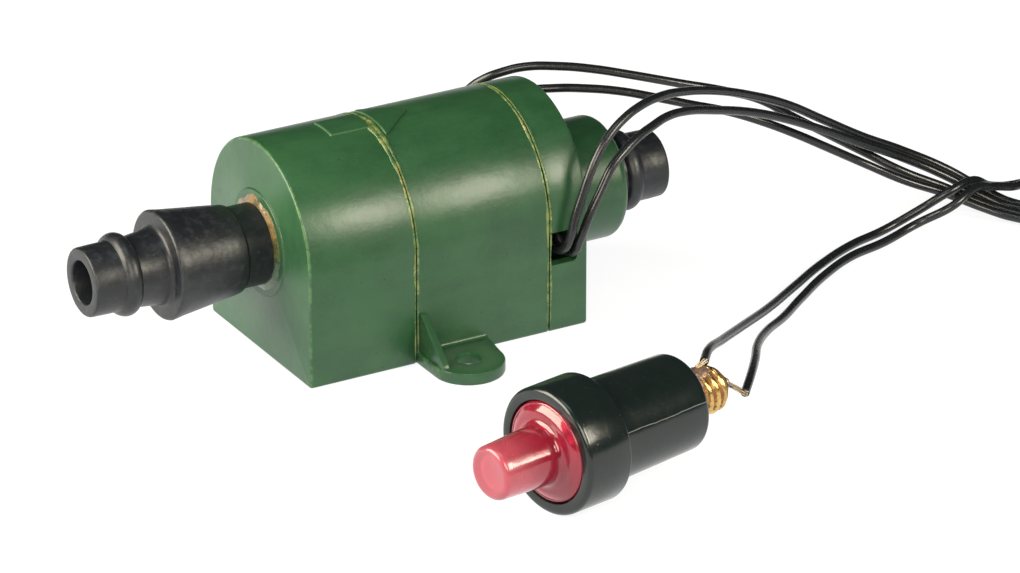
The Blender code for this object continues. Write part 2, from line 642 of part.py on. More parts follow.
def front_adapter():
    wall_inside = -(FRONT_WALL + TOUCH_GAP)
    profile = [
        (wall_inside - FLANGE_THICKNESS, BORE_RADIUS), (wall_inside - FLANGE_THICKNESS, FLANGE_RADIUS),
        (wall_inside, FLANGE_RADIUS), (wall_inside, NECK_RADIUS), (NECK_LENGTH, NECK_RADIUS),
    ]
    profile += collar_profile(NECK_LENGTH, COLLAR_LENGTH) + spigot_profile(NECK_LENGTH + COLLAR_LENGTH)
    shape = turned(profile, (FRONT_X, 0.0, AXIS_HEIGHT), (-1, 0, 0), 28)
    add_piece("front_adapter", shape, "black_rubber")


def rear_adapter():
    collar_start = BOSS_LENGTH - BOSS_LIP - TOUCH_GAP - REAR_COLLAR_LENGTH
    inner_end = collar_start - 0.6
    profile = [(inner_end, BORE_RADIUS), (inner_end, NECK_RADIUS), (collar_start, NECK_RADIUS)]
    profile += collar_profile(collar_start, REAR_COLLAR_LENGTH)
    profile += spigot_profile(collar_start + REAR_COLLAR_LENGTH)
    shape = turned(profile, (REAR_X, 0.0, OUTLET_HEIGHT), ALONG_X, 28)
    add_piece("rear_adapter", shape, "black_rubber")


def inlet_filter():
    start = HEAD_X - CHAMBER_RADIUS + TOUCH_GAP
    shape = rod(MOTOR_AXIS, ALONG_X, start, start + FILTER_THICKNESS, FILTER_RADIUS, 20)
    add_piece("inlet_filter", shape, "filter_foam")


# ---------------------------------------------------------------- motor

def bulkhead():
    piece = add_piece("motor_bulkhead", arch(WALL + TOUCH_GAP, BULKHEAD_FRONT, BULKHEAD_REAR), "grey_plastic")
    front, rear = BULKHEAD_FRONT - 1.0, BULKHEAD_REAR + 1.0
    cut(piece, rod(MOTOR_AXIS, ALONG_X, front, rear, BEARING_RADIUS + TOUCH_GAP, 24))
    for side in (-1, 1):
        centre = (0.0, side * SCREW_OFFSET, AXIS_HEIGHT)
        cut(piece, rod(centre, ALONG_X, front, rear, SCREW_RADIUS + TOUCH_GAP, 12))
    half = DUCT_WIDTH / 2 + TOUCH_GAP
    cut(piece, block((front, -half, 0.0), (rear, half, DUCT_TOP + TOUCH_GAP)))


def motor_can():
    inner = CAN_RADIUS - CAN_WALL
    hole = BEARING_RADIUS + TOUCH_GAP
    edge = 0.6
    profile = [
        (CAN_FRONT, hole), (CAN_FRONT, CAN_RADIUS - edge), (CAN_FRONT + edge, CAN_RADIUS),
        (CAN_REAR, CAN_RADIUS), (CAN_REAR, inner), (CAN_FRONT + CAN_WALL, inner),
        (CAN_FRONT + CAN_WALL, hole),
    ]
    piece = add_piece("motor_can", turned(profile, MOTOR_AXIS, ALONG_X, 28), "zinc")
    for side in (-1, 1):
        centre = (0.0, side * SCREW_OFFSET, AXIS_HEIGHT)
        low, high = CAN_FRONT - 1.0, CAN_FRONT + CAN_WALL + 1.0
        cut(piece, rod(centre, ALONG_X, low, high, SCREW_RADIUS + TOUCH_GAP, 12))


def magnets():
    margin = 0.6
    low, high = CORE_FRONT - margin, CORE_REAR + margin
    for name, middle in (("magnet_upper", 90.0), ("magnet_lower", 270.0)):
        start, end = middle - MAGNET_SPAN / 2, middle + MAGNET_SPAN / 2
        centre = (0.0, AXIS_HEIGHT)
        outline = arc(centre, MAGNET_RADIUS, start, end, 12) + arc(centre, MAGNET_BORE, end, start, 12)
        add_piece(name, prism(outline, "X", low, high), "magnet")


def bearings():
    low = CAN_FRONT - FRONT_BEARING_LENGTH / 2
    shape = pipe(MOTOR_AXIS, ALONG_X, low, low + FRONT_BEARING_LENGTH, BEARING_RADIUS, BEARING_BORE)
    add_piece("front_bearing", shape, "bronze")
    high = MOTOR_REAR - 0.2
    shape = pipe(MOTOR_AXIS, ALONG_X, high - REAR_BEARING_LENGTH, high, BEARING_RADIUS, BEARING_BORE)
    add_piece("rear_bearing", shape, "bronze")


def end_bell():
    inner = END_BELL_RADIUS - END_BELL_WALL
    wall_front = MOTOR_REAR - END_BELL_WALL
    hole = BEARING_RADIUS + TOUCH_GAP
    profile = [
        (END_BELL_FRONT, inner), (END_BELL_FRONT, END_BELL_RADIUS), (MOTOR_REAR - 0.5, END_BELL_RADIUS),
        (MOTOR_REAR, END_BELL_RADIUS - 0.5), (MOTOR_REAR, hole), (wall_front, hole), (wall_front, inner),
    ]
    piece = add_piece("end_bell", turned(profile, MOTOR_AXIS, ALONG_X, 32), "white_nylon")
    for side in (-1, 1):
        low, high = terminal_corners(side, TOUCH_GAP)
        cut(piece, block(low, high))


def terminal_corners(side, margin=0.0):
    middle = side * TERMINAL_OFFSET
    half_thick, half_high = TERMINAL_THICKNESS / 2 + margin, TERMINAL_HEIGHT / 2 + margin
    low = (BRUSH_X - 0.5 - margin, middle - half_thick, AXIS_HEIGHT - half_high)
    high = (MOTOR_REAR + TERMINAL_REACH + margin, middle + half_thick, AXIS_HEIGHT + half_high)
    return low, high


def terminals():
    for name, side in (("brush_terminal_near", -1), ("brush_terminal_far", 1)):
        add_piece(name, block(*terminal_corners(side)), "brass")


def brushes():
    for name, side in (("brush_near", -1), ("brush_far", 1)):
        face = COMMUTATOR_RADIUS + RUNNING_CLEARANCE
        near, far = sorted((side * face, side * (face + BRUSH_LENGTH)))
        low = (BRUSH_X, near, AXIS_HEIGHT - BRUSH_HEIGHT / 2)
        high = (BRUSH_X + BRUSH_WIDTH, far, AXIS_HEIGHT + BRUSH_HEIGHT / 2)
        pivot = (BRUSH_X + BRUSH_WIDTH / 2, side * face, AXIS_HEIGHT)
        add_piece(name, block(low, high), "carbon", pivot)


def motor_screws():
    for name, side in (("motor_screw_near", -1), ("motor_screw_far", 1)):
        seat = BULKHEAD_FRONT - TOUCH_GAP
        top = seat - SCREW_HEAD_LENGTH
        end = CAN_FRONT + CAN_WALL - 0.2
        profile = [
            (top, 0.0), (top, SCREW_HEAD_RADIUS - 0.3), (top + 0.4, SCREW_HEAD_RADIUS),
            (seat, SCREW_HEAD_RADIUS), (seat, SCREW_RADIUS), (end, SCREW_RADIUS), (end, 0.0),
        ]
        shape = turned(profile, (0.0, side * SCREW_OFFSET, AXIS_HEIGHT), ALONG_X, 16, closed=False)
        add_piece(name, shape, "steel")


# ---------------------------------------------------------------- rotor

def pole_outline():
    """The laminations' section: a hub with three T-shaped poles, as (y, z) points."""
    half = STEM_WIDTH / 2
    hub = WINDING_INNER - 0.4
    shoe = math.degrees(math.acos(SHOE_CHORD / CORE_RADIUS))
    reach = CORE_RADIUS * math.sin(math.radians(shoe))
    pole = [(hub, -half), (SHOE_CHORD, -half), (SHOE_CHORD, -reach)]
    pole += arc((0.0, 0.0), CORE_RADIUS, -shoe, shoe, 8)[1:-1]
    pole += [(SHOE_CHORD, reach), (SHOE_CHORD, half), (hub, half)]
    outline = []
    for k in range(POLE_COUNT):
        turn = math.radians(90.0 + 360.0 * k / POLE_COUNT)
        for a, b in pole:
            y = a * math.cos(turn) - b * math.sin(turn)
            z = a * math.sin(turn) + b * math.cos(turn)
            outline.append((y, z + AXIS_HEIGHT))
    return outline


def armature():
    shape = prism(pole_outline(), "X", CORE_FRONT, CORE_REAR)
    piece = add_piece("armature_core", shape, "laminations", MOTOR_AXIS)
    cut(piece, rod(MOTOR_AXIS, ALONG_X, CORE_FRONT - 1.0, CORE_REAR + 1.0, SHAFT_RADIUS + TOUCH_GAP, 16))
    half_length = (CORE_REAR - CORE_FRONT) / 2
    for k, letter in zip(range(POLE_COUNT), "abc"):
        outer = rounded_rectangle(half_length + WINDING_OVERHANG, WINDING_HALF_WIDTH, 1.2)
        inner = rounded_rectangle(half_length + TOUCH_GAP, STEM_WIDTH / 2 + TOUCH_GAP, 0.3)
        bm = sleeve(outer, inner, "Z", WINDING_INNER, SHOE_CHORD - TOUCH_GAP)
        turn = Matrix.Rotation(math.radians(360.0 * k / POLE_COUNT), 4, "X")
        bm.transform(Matrix.Translation((CORE_MIDDLE, 0.0, AXIS_HEIGHT)) @ turn)
        add_piece("winding_" + letter, bm, "copper", MOTOR_AXIS)


def rounded_rectangle(half_a, half_b, radius):
    outline = []
    for sign_a, sign_b, start in ((1, 1, 0.0), (-1, 1, 90.0), (-1, -1, 180.0), (1, -1, 270.0)):
        centre = (sign_a * (half_a - radius), sign_b * (half_b - radius))
        outline += arc(centre, radius, start, start + 90.0, 3)
    return outline


def shaft():
    low, high = HUB_FRONT + 1.0, MOTOR_REAR - 0.5
    add_piece("shaft", rod(MOTOR_AXIS, ALONG_X, low, high, SHAFT_RADIUS), "steel", MOTOR_AXIS)


def commutator():
    bore = SHAFT_RADIUS + TOUCH_GAP
    shape = pipe(MOTOR_AXIS, ALONG_X, COMMUTATOR_FRONT, COMMUTATOR_REAR, COMMUTATOR_RADIUS, bore)
    add_piece("commutator", shape, "copper", MOTOR_AXIS)


def eccentric():
    shape = rod(MOTOR_AXIS, ALONG_X, HUB_FRONT, HUB_REAR, HUB_RADIUS)
    piece = add_piece("eccentric", shape, "zinc", MOTOR_AXIS)
    pin_front = HEAD_X - ROD_WIDTH / 2 - 0.4
    join(piece, rod((0.0, 0.0, PIN_HEIGHT), ALONG_X, pin_front, HUB_FRONT + 0.8, CRANKPIN_RADIUS, 24))
    web = HUB_FRONT + HUB_LENGTH / 2 - COUNTERWEIGHT_THICKNESS / 2
    half_disc = arc((0.0, AXIS_HEIGHT), COUNTERWEIGHT_RADIUS, 180.0, 360.0, 18)
    join(piece, prism(half_disc, "X", web, web + COUNTERWEIGHT_THICKNESS))
    grub = (grub_x(), 0.0, AXIS_HEIGHT)
    cut(
        piece,
        rod(MOTOR_AXIS, ALONG_X, HUB_FRONT + 1.0 - TOUCH_GAP, HUB_REAR + 1.0, SHAFT_RADIUS + TOUCH_GAP),
        rod(grub, (0, 0, 1), SHAFT_RADIUS, HUB_RADIUS + 1.0, SCREW_RADIUS + TOUCH_GAP, 16),
    )


def grub_x():
    return HUB_FRONT + HUB_LENGTH / 2


def grub_screw():
    low = SHAFT_RADIUS + TOUCH_GAP
    profile = [
        (low, 0.0), (low, SCREW_RADIUS), (HUB_RADIUS - 0.2, SCREW_RADIUS), (HUB_RADIUS - 0.2, 0.5),
        (HUB_RADIUS - 1.2, 0.5), (HUB_RADIUS - 1.2, 0.0),
    ]
    shape = turned(profile, (grub_x(), 0.0, AXIS_HEIGHT), (0, 0, 1), 12, closed=False)
    add_piece("grub_screw", shape, "steel", MOTOR_AXIS)


# ---------------------------------------------------------------- pump head

def pump_base():
    half = HEAD_WIDTH / 2
    shape = block((HEAD_FRONT, -half, FLOOR_Z), (HEAD_REAR, half, BASE_TOP))
    piece = add_piece("pump_base", shape, "grey_plastic")
    floor = FLOOR_Z + BASE_FLOOR
    width = FLAP_WIDTH / 2 + 1.2
    wall = 0.8
    cut(
        piece,
        block((HEAD_X - width, wall, floor), (HEAD_X + width, half + 1.0, BASE_TOP + 1.0)),
        block((HEAD_X - width, -FLAP_LENGTH - 2 * wall, floor), (HEAD_REAR + 1.0, -wall, BASE_TOP + 1.0)),
    )


def valve_plate():
    half = HEAD_WIDTH / 2
    low, high = (HEAD_FRONT, -half, PLATE_BOTTOM), (HEAD_REAR, half, PLATE_TOP)
    piece = add_piece("valve_plate", block(low, high), "white_nylon")
    for side in (-1, 1):
        centre = (HEAD_X, side * PORT_OFFSET, 0.0)
        cut(piece, rod(centre, (0, 0, 1), PLATE_BOTTOM - 1.0, PLATE_TOP + 1.0, PORT_RADIUS, 16))


def reed_valves():
    half = FLAP_WIDTH / 2
    low_y, high_y = 0.6, FLAP_LENGTH
    low = (HEAD_X - half, low_y, PLATE_TOP + TOUCH_GAP)
    high = (HEAD_X + half, high_y, PLATE_TOP + TOUCH_GAP + FLAP_THICKNESS)
    add_piece("intake_flap", block(low, high), "diaphragm_rubber", (HEAD_X, low_y, low[2]))
    hinge_y = -1.2
    top = PLATE_BOTTOM - TOUCH_GAP
    low = (HEAD_X - half, -FLAP_LENGTH, top - FLAP_THICKNESS)
    high = (HEAD_X + half, hinge_y, top)
    add_piece("exhaust_flap", block(low, high), "diaphragm_rubber", (HEAD_X, hinge_y, top))


def pump_chamber():
    centre = (HEAD_X, 0.0, 0.0)
    up = (0, 0, 1)
    shape = pipe(centre, up, RING_BOTTOM, RING_TOP, RIM_RADIUS, CHAMBER_RADIUS, 24)
    add_piece("chamber_ring", shape, "white_nylon")
    shape = pipe(centre, up, CLAMP_RING_BOTTOM, CLAMP_RING_TOP, RIM_RADIUS, CHAMBER_RADIUS, 24)
    add_piece("diaphragm_clamp_ring", shape, "zinc")
    lift = CRANK_THROW
    edge = DISC_RADIUS + 0.3
    stud_hole = STUD_RADIUS + TOUCH_GAP
    profile = [
        (RIM_BOTTOM, RIM_RADIUS), (RIM_TOP, RIM_RADIUS), (RIM_TOP, CHAMBER_RADIUS - 0.2),
        (RIM_TOP + lift, edge), (RIM_TOP + lift, stud_hole), (RIM_BOTTOM + lift, stud_hole),
        (RIM_BOTTOM + lift, edge), (RIM_BOTTOM, CHAMBER_RADIUS - 0.2),
    ]
    add_piece("diaphragm", turned(profile, centre, up, 24), "diaphragm_rubber")


def clamp_discs():
    centre = (HEAD_X, 0.0, 0.0)
    up = (0, 0, 1)
    pivot = (HEAD_X, 0.0, PIN_HEIGHT)
    low = DISC_LOW_TOP - CLAMP_DISC_THICKNESS
    stud_top = DISC_LOW_TOP + STUD_LENGTH
    profile = [(low, 0.0), (low, DISC_RADIUS - 0.3), (low + 0.3, DISC_RADIUS), (DISC_LOW_TOP, DISC_RADIUS)]
    profile += [(DISC_LOW_TOP, STUD_RADIUS), (stud_top, STUD_RADIUS), (stud_top, 0.0)]
    add_piece("clamp_disc_lower", turned(profile, centre, up, 24, closed=False), "zinc", pivot)
    high = DISC_HIGH_BOTTOM + CLAMP_DISC_THICKNESS
    shape = pipe(centre, up, DISC_HIGH_BOTTOM, high, DISC_RADIUS, STUD_RADIUS + TOUCH_GAP)
    add_piece("clamp_disc_upper", shape, "zinc", pivot)


def connecting_rod():
    pin = (0.0, 0.0, PIN_HEIGHT)
    pivot = (HEAD_X, 0.0, PIN_HEIGHT)
    low, high = HEAD_X - ROD_WIDTH / 2, HEAD_X + ROD_WIDTH / 2
    shape = rod(pin, ALONG_X, low, high, ROD_RING_RADIUS, 28)
    piece = add_piece("connecting_rod", shape, "white_nylon", pivot)
    inside_ring = PIN_HEIGHT - ROD_BORE - ROD_RING_WALL / 4
    foot, up = (HEAD_X, 0.0, 0.0), (0, 0, 1)
    shank_low = (low + 0.1, -ROD_SHANK_HALF, FOOT_BOTTOM + FOOT_THICKNESS / 3)
    shank_high = (high - 0.1, ROD_SHANK_HALF, inside_ring)
    join(
        piece,
        block(shank_low, shank_high),
        rod(foot, up, FOOT_BOTTOM, FOOT_BOTTOM + FOOT_THICKNESS, FOOT_RADIUS, 24),
    )
    stud_top = DISC_LOW_TOP + STUD_LENGTH + TOUCH_GAP
    cut(
        piece,
        rod(pin, ALONG_X, low - 1.0, high + 1.0, ROD_BORE, 28),
        rod(foot, up, FOOT_BOTTOM - 1.0, stud_top, STUD_RADIUS + TOUCH_GAP, 16),
    )
    shape = pipe(pin, ALONG_X, low, high, BUSH_RADIUS, BUSH_BORE, 24)
    add_piece("rod_bush", shape, "bronze", pivot)


def air_duct():
    """A square pipe on the floor that takes the air from the pump head past the motor."""
    outlines = []
    for inset in (0.0, DUCT_WALL):
        half, low, high = DUCT_WIDTH / 2 - inset, FLOOR_Z + inset, DUCT_TOP - inset
        outlines.append([(-half, low), (half, low), (half, high), (-half, high)])
    add_piece("air_duct", sleeve(*outlines, "X", DUCT_FRONT, DUCT_REAR), "grey_plastic")


# ---------------------------------------------------------------- pilot lamp

def lamp_turned(name, profile, finish, sides=32, closed=True):
    return add_piece(name, turned(profile, LAMP_ORIGIN, LAMP_AXIS, sides, closed), finish, LAMP_ORIGIN)


def lamp_holder():
    recess = LENS_FLANGE_THICKNESS + TOUCH_GAP
    mouth = LENS_FLANGE_RADIUS + TOUCH_GAP
    guide = LENS_STEM_RADIUS + TOUCH_GAP
    bore = CAP_RADIUS + TOUCH_GAP
    step = HOLDER_LENGTH - GLASS_LENGTH + CAP_INSIDE
    edge = HOLDER_EDGE_RADIUS
    rear_edge = arc((HOLDER_LENGTH - edge, HOLDER_END_RADIUS - edge), edge, 90.0, 0.0, 2)
    front_edge = arc((edge, BEZEL_RADIUS - edge), edge, 180.0, 90.0, 2)
    shoulder = 0.5
    profile = [(recess, guide), (recess, mouth), (0.0, mouth)] + front_edge
    profile += [(BEZEL_LENGTH - shoulder, BEZEL_RADIUS), (BEZEL_LENGTH, BEZEL_RADIUS - shoulder)]
    profile += [(BEZEL_LENGTH, HOLDER_RADIUS)]
    profile += rear_edge + [(HOLDER_LENGTH, bore), (step, bore), (step, guide)]
    lamp_turned("lamp_holder", profile, "black_bakelite", 32)


def lamp_lens():
    tip = -LENS_STEM_LENGTH
    edge = 1.2
    tip_edge = arc((tip + edge, LENS_TIP_RADIUS - edge), edge, 180.0, 90.0, 3)
    skirt_end = LENS_FLANGE_THICKNESS + LENS_SKIRT_LENGTH
    inner = LENS_STEM_RADIUS - LENS_WALL
    outside = [
        (-LENS_DOME - 0.6, LENS_STEM_RADIUS), (-LENS_DOME, LENS_STEM_RADIUS + 0.4),
        (-0.1, LENS_FLANGE_RADIUS - 0.6), (0.3, LENS_FLANGE_RADIUS),
        (LENS_FLANGE_THICKNESS, LENS_FLANGE_RADIUS), (LENS_FLANGE_THICKNESS, LENS_STEM_RADIUS),
        (skirt_end, LENS_STEM_RADIUS),
    ]
    inside = [
        (skirt_end, inner), (tip + 2 * LENS_WALL, inner - 0.4), (tip + LENS_WALL, inner - 1.8),
        (tip + LENS_WALL, 0.0),
    ]
    profile = [(tip, 0.0)] + tip_edge + outside + inside
    lamp_turned("lamp_lens", profile, "red_lens", 24, closed=False)


def bulb():
    glass_end = CAP_START - TOUCH_GAP
    tip = glass_end - GLASS_LENGTH
    dome = arc((tip + GLASS_RADIUS, 0.0), GLASS_RADIUS, 180.0, 90.0, 5)
    inside = arc((tip + GLASS_RADIUS, 0.0), GLASS_RADIUS - GLASS_WALL, 90.0, 180.0, 5)
    profile = [(along, max(radius, 0.0)) for along, radius in dome]
    profile += [(glass_end, GLASS_RADIUS), (glass_end, GLASS_RADIUS - GLASS_WALL)]
    profile += [(along, max(radius, 0.0)) for along, radius in inside]
    lamp_turned("bulb_glass", profile, "bulb_glass", 16, closed=False)
    first_ridge = HOLDER_LENGTH + CAP_PLAIN
    profile = [(CAP_START, 0.0), (CAP_START, CAP_ROOT_RADIUS), (first_ridge, CAP_ROOT_RADIUS)]
    for ridge in range(CAP_RIDGES):
        start = first_ridge + ridge * CAP_PITCH
        profile += [(start + 0.35 * CAP_PITCH, CAP_RADIUS), (start + 0.65 * CAP_PITCH, CAP_RADIUS)]
        profile += [(start + CAP_PITCH, CAP_ROOT_RADIUS)]
    cap_tip = CAP_END + CAP_TAPER
    profile += [(cap_tip - 0.4, CONTACT_RADIUS + 1.4), (cap_tip, CONTACT_RADIUS + 0.8), (cap_tip, 0.0)]
    lamp_turned("bulb_cap", profile, "brass", 20, closed=False)
    low = cap_tip + TOUCH_GAP
    high = low + INSULATOR_THICKNESS
    profile = [(low, 0.0), (low, CONTACT_RADIUS + 0.6), (high, CONTACT_RADIUS), (high, 0.0)]
    lamp_turned("bulb_insulator", profile, "black_bakelite", 20, closed=False)
    low = high + TOUCH_GAP
    high = low + CONTACT_LENGTH
    profile = [(low, 0.0), (low, CONTACT_RADIUS - 0.2), (high - 0.4, CONTACT_RADIUS - 0.5)]
    profile += [(high, 0.6), (high, 0.0)]
    lamp_turned("tip_contact", profile, "solder", 16, closed=False)


def shell_solder():
    """The blob that holds one lead on top of the lamp's cap, beside the holder."""
    centre = LAMP_ORIGIN + LAMP_AXIS * (HOLDER_LENGTH + SOLDER_OFFSET)
    centre.z += CAP_RADIUS + TOUCH_GAP
    flattening = 0.75
    dome = arc((0.0, 0.0), SOLDER_RADIUS, 0.0, 90.0, 4)
    profile = [(0.0, 0.0)] + [(flattening * height, radius) for radius, height in dome[:-1]]
    profile.append((flattening * SOLDER_RADIUS, 0.0))
    add_piece("shell_solder", turned(profile, centre, (0, 0, 1), 14, closed=False), "solder")


# ---------------------------------------------------------------- leads

def smooth_route(points, step):
    """Even points on a centripetal curve through the route's own points."""
    points = [Vector(p) for p in points]
    ends = [2 * points[0] - points[1]] + points + [2 * points[-1] - points[-2]]
    dense = []
    for p0, p1, p2, p3 in zip(ends, ends[1:], ends[2:], ends[3:]):
        knots = [0.0]
        for a, b in ((p0, p1), (p1, p2), (p2, p3)):
            knots.append(knots[-1] + math.sqrt((b - a).length))
        t0, t1, t2, t3 = knots
        for k in range(12):
            t = t1 + (t2 - t1) * k / 12
            a1 = p0.lerp(p1, (t - t0) / (t1 - t0))
            a2 = p1.lerp(p2, (t - t1) / (t2 - t1))
            a3 = p2.lerp(p3, (t - t2) / (t3 - t2))
            b1 = a1.lerp(a2, (t - t0) / (t2 - t0))
            b2 = a2.lerp(a3, (t - t1) / (t3 - t1))
            dense.append(b1.lerp(b2, (t - t1) / (t2 - t1)))
    dense.append(points[-1])
    lengths = [0.0]
    for a, b in zip(dense, dense[1:]):
        lengths.append(lengths[-1] + (b - a).length)
    count = max(2, round(lengths[-1] / step))
    even, k = [], 0
    for i in range(count + 1):
        target = lengths[-1] * i / count
        while k < len(lengths) - 2 and lengths[k + 1] < target:
            k += 1
        share = (target - lengths[k]) / (lengths[k + 1] - lengths[k])
        even.append(dense[k].lerp(dense[k + 1], share))
    return even


def outside_coil(points, centre):
    """The even points of a route that stay clear of the coil it runs into or comes out of."""
    even = smooth_route(points, 0.5)
    reach = COIL_RADIUS + (COIL_BAND + LEAD_DIAMETER) / 2 + LEAD_DIAMETER / 2 + TOUCH_GAP
    kept = [p for p in even if math.hypot(p.x - centre[0], p.y - centre[1]) > reach]
    length = sum((b - a).length for a, b in zip(kept, kept[1:]))
    count = max(2, round(length / LEAD_STEP))
    return [kept[round(i * (len(kept) - 1) / count)] for i in range(count + 1)]


def lead(name, points, centre):
    """One stretch of lead as a round tube on a curve, which stops at the coil about centre."""
    route = outside_coil(points, centre)
    curve = bpy.data.curves.new(name, "CURVE")
    curve.dimensions = "3D"
    curve.bevel_depth = LEAD_DIAMETER / 2 * MM
    curve.bevel_resolution = 2
    curve.use_fill_caps = True
    spline = curve.splines.new("POLY")
    spline.points.add(len(route) - 1)
    for slot, place in zip(spline.points, route):
        slot.co = (*(place * MM), 1.0)
    curve.materials.append(material("black_pvc"))
    piece = bpy.data.objects.new(name, curve)
    bpy.context.scene.collection.objects.link(piece)


def coil(name, centre):
    """The outer shape of a coil of two leads, lying flat."""
    inner = COIL_RADIUS - COIL_BAND / 2 - LEAD_DIAMETER / 2
    outer = COIL_RADIUS + COIL_BAND / 2 + LEAD_DIAMETER / 2
    height = COIL_LAYERS * COIL_LAYER_HEIGHT
    edge = 0.7
    profile = [
        (0.0, inner), (height - edge, inner), (height, inner + edge), (height, outer - edge),
        (height - edge, outer), (0.0, outer),
    ]
    add_piece(name, turned(profile, (*centre, 0.05), (0, 0, 1), 28), "black_pvc")


def leads():
    lead("lamp_lead_a_out", LAMP_OUT_A, LAMP_COIL)
    lead("lamp_lead_b_out", LAMP_OUT_B, LAMP_COIL)
    lead("lamp_lead_a_back", LAMP_BACK_A, LAMP_COIL)
    lead("lamp_lead_b_back", LAMP_BACK_B, LAMP_COIL)
    lead("supply_lead_a_out", SUPPLY_OUT_A, SUPPLY_COIL)
    lead("supply_lead_b_out", SUPPLY_OUT_B, SUPPLY_COIL)
    lead("supply_lead_a_tail", SUPPLY_TAIL_A, SUPPLY_COIL)
    lead("supply_lead_b_tail", SUPPLY_TAIL_B, SUPPLY_COIL)
    coil("lamp_lead_coil", LAMP_COIL)
    coil("supply_lead_coil", SUPPLY_COIL)


def clear_scene():
    for old in list(bpy.data.objects):
        bpy.data.objects.remove(old, do_unlink=True)


def main():
    clear_scene()
    for build in (
        front_housing, motor_housing, rear_cap, front_adapter, rear_adapter, inlet_filter,
        bulkhead, motor_can, magnets, bearings, end_bell, terminals, brushes, motor_screws,
        shaft, armature, commutator, eccentric, grub_screw,
        pump_base, valve_plate, reed_valves, pump_chamber, clamp_discs, connecting_rod, air_duct,
        lamp_holder, lamp_lens, bulb, shell_solder, leads,
    ):
        build()


main()
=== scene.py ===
import math

import bmesh
import bpy
from mathutils import Matrix, Vector, noise


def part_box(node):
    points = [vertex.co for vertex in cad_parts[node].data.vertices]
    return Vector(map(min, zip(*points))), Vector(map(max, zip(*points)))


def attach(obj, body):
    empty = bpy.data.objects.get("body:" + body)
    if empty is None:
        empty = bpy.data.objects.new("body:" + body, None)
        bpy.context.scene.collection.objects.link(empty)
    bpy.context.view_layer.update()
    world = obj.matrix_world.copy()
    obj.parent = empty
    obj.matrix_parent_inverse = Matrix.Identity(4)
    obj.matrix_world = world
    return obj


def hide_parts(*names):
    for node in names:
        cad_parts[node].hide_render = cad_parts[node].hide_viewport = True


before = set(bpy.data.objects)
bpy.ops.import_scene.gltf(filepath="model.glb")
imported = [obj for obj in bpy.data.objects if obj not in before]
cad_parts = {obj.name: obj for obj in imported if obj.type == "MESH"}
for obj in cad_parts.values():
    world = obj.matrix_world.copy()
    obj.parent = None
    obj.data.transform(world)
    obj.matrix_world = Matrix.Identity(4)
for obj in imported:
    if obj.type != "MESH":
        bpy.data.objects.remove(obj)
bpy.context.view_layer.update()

# The looks of a small in-line air pump: a green arch-shaped housing in three glued sections, black hose
# adapters at both ends, and a red pilot lamp on a pair of loose leads. Lengths are in millimetres until
# a piece leaves its mesh code. X runs from inlet to outlet, Z is up and the near side is -Y.

MM = 0.001
HOUSING = "pump_housing"


def span(node, axis):
    """A node's lowest and highest place along one axis, in millimetres."""
    low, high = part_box(node)
    return low[axis] / MM, high[axis] / MM


X, Y, Z = 0, 1, 2

# Housing
TOUCH_GAP = 0.3
WALL = 2.2
RING_RADIUS = 10.9
RING_HEIGHT = 0.4
NECK_HOLE_RADIUS = 8.5
EDGE_RADIUS = 0.55
SEAM_RADIUS = 0.22
BASE_EDGE_RADIUS = 0.8
HALF_WIDTH = span("rear_cap", Y)[1]
AXIS_HEIGHT = span("rear_cap", Z)[1] - HALF_WIDTH
FRONT_X = span("front_housing", X)[0] + RING_HEIGHT
SEAM_1_LOW = span("front_housing", X)[1]
SEAM_1_HIGH, SEAM_2_LOW = span("motor_housing", X)
SEAM_2_HIGH, BOSS_END = span("rear_cap", X)
SEAM_1 = (SEAM_1_LOW + SEAM_1_HIGH) / 2
SEAM_2 = (SEAM_2_LOW + SEAM_2_HIGH) / 2
BOSS_LENGTH = 15.0
BOSS_LIP = 3.6
REAR_X = BOSS_END - BOSS_LENGTH
BOSS_RADIUS = 12.5
BOSS_EDGE_RADIUS = 2.0
BOSS_MOUTH_RADIUS = 8.6
OUTLET_HEIGHT = sum(span("rear_adapter", Z)) / 2
NOTCH_BOTTOM = 14.4
NOTCH_HEIGHT = 7.0
NOTCH_END_WALL = 2.4
NOTCH_END = REAR_X - NOTCH_END_WALL

# Ears
EAR_OUTER = span("motor_housing", Y)[1]
EAR_END_RADIUS = 7.3
EAR_CENTRE = EAR_OUTER - EAR_END_RADIUS
EAR_ROOT_REAR = 8.4
EAR_THICKNESS = 2.6
EAR_HOLE_RADIUS = 2.5
GUSSET_THICKNESS = 1.5
GUSSET_HEIGHT = 10.9
GUSSET_REACH = 9.8

# Arrow on top
ARROW_RISE = 0.42
ARROW_SHAFT = (SEAM_1_LOW - 9.0, SEAM_1_LOW - 0.3, 3.4)
ARROW_HEAD = (SEAM_1_HIGH + 1.2, 7.6, 6.5)

# Hose adapters
BORE_RADIUS = 4.4
NECK_RADIUS = 8.2
NECK_LENGTH = 6.5
COLLAR_LENGTH = 15.9
REAR_COLLAR_LENGTH = 14.0
COLLAR_SMALL = 8.9
COLLAR_LARGE = 11.0
SPIGOT_ROOT = 7.6
SPIGOT_RADIUS = 7.0
BEAD_RADIUS = 8.3
BEAD_OFFSET = 8.2
BEAD_HALF_WIDTH = 1.8
SPIGOT_END = 8.0

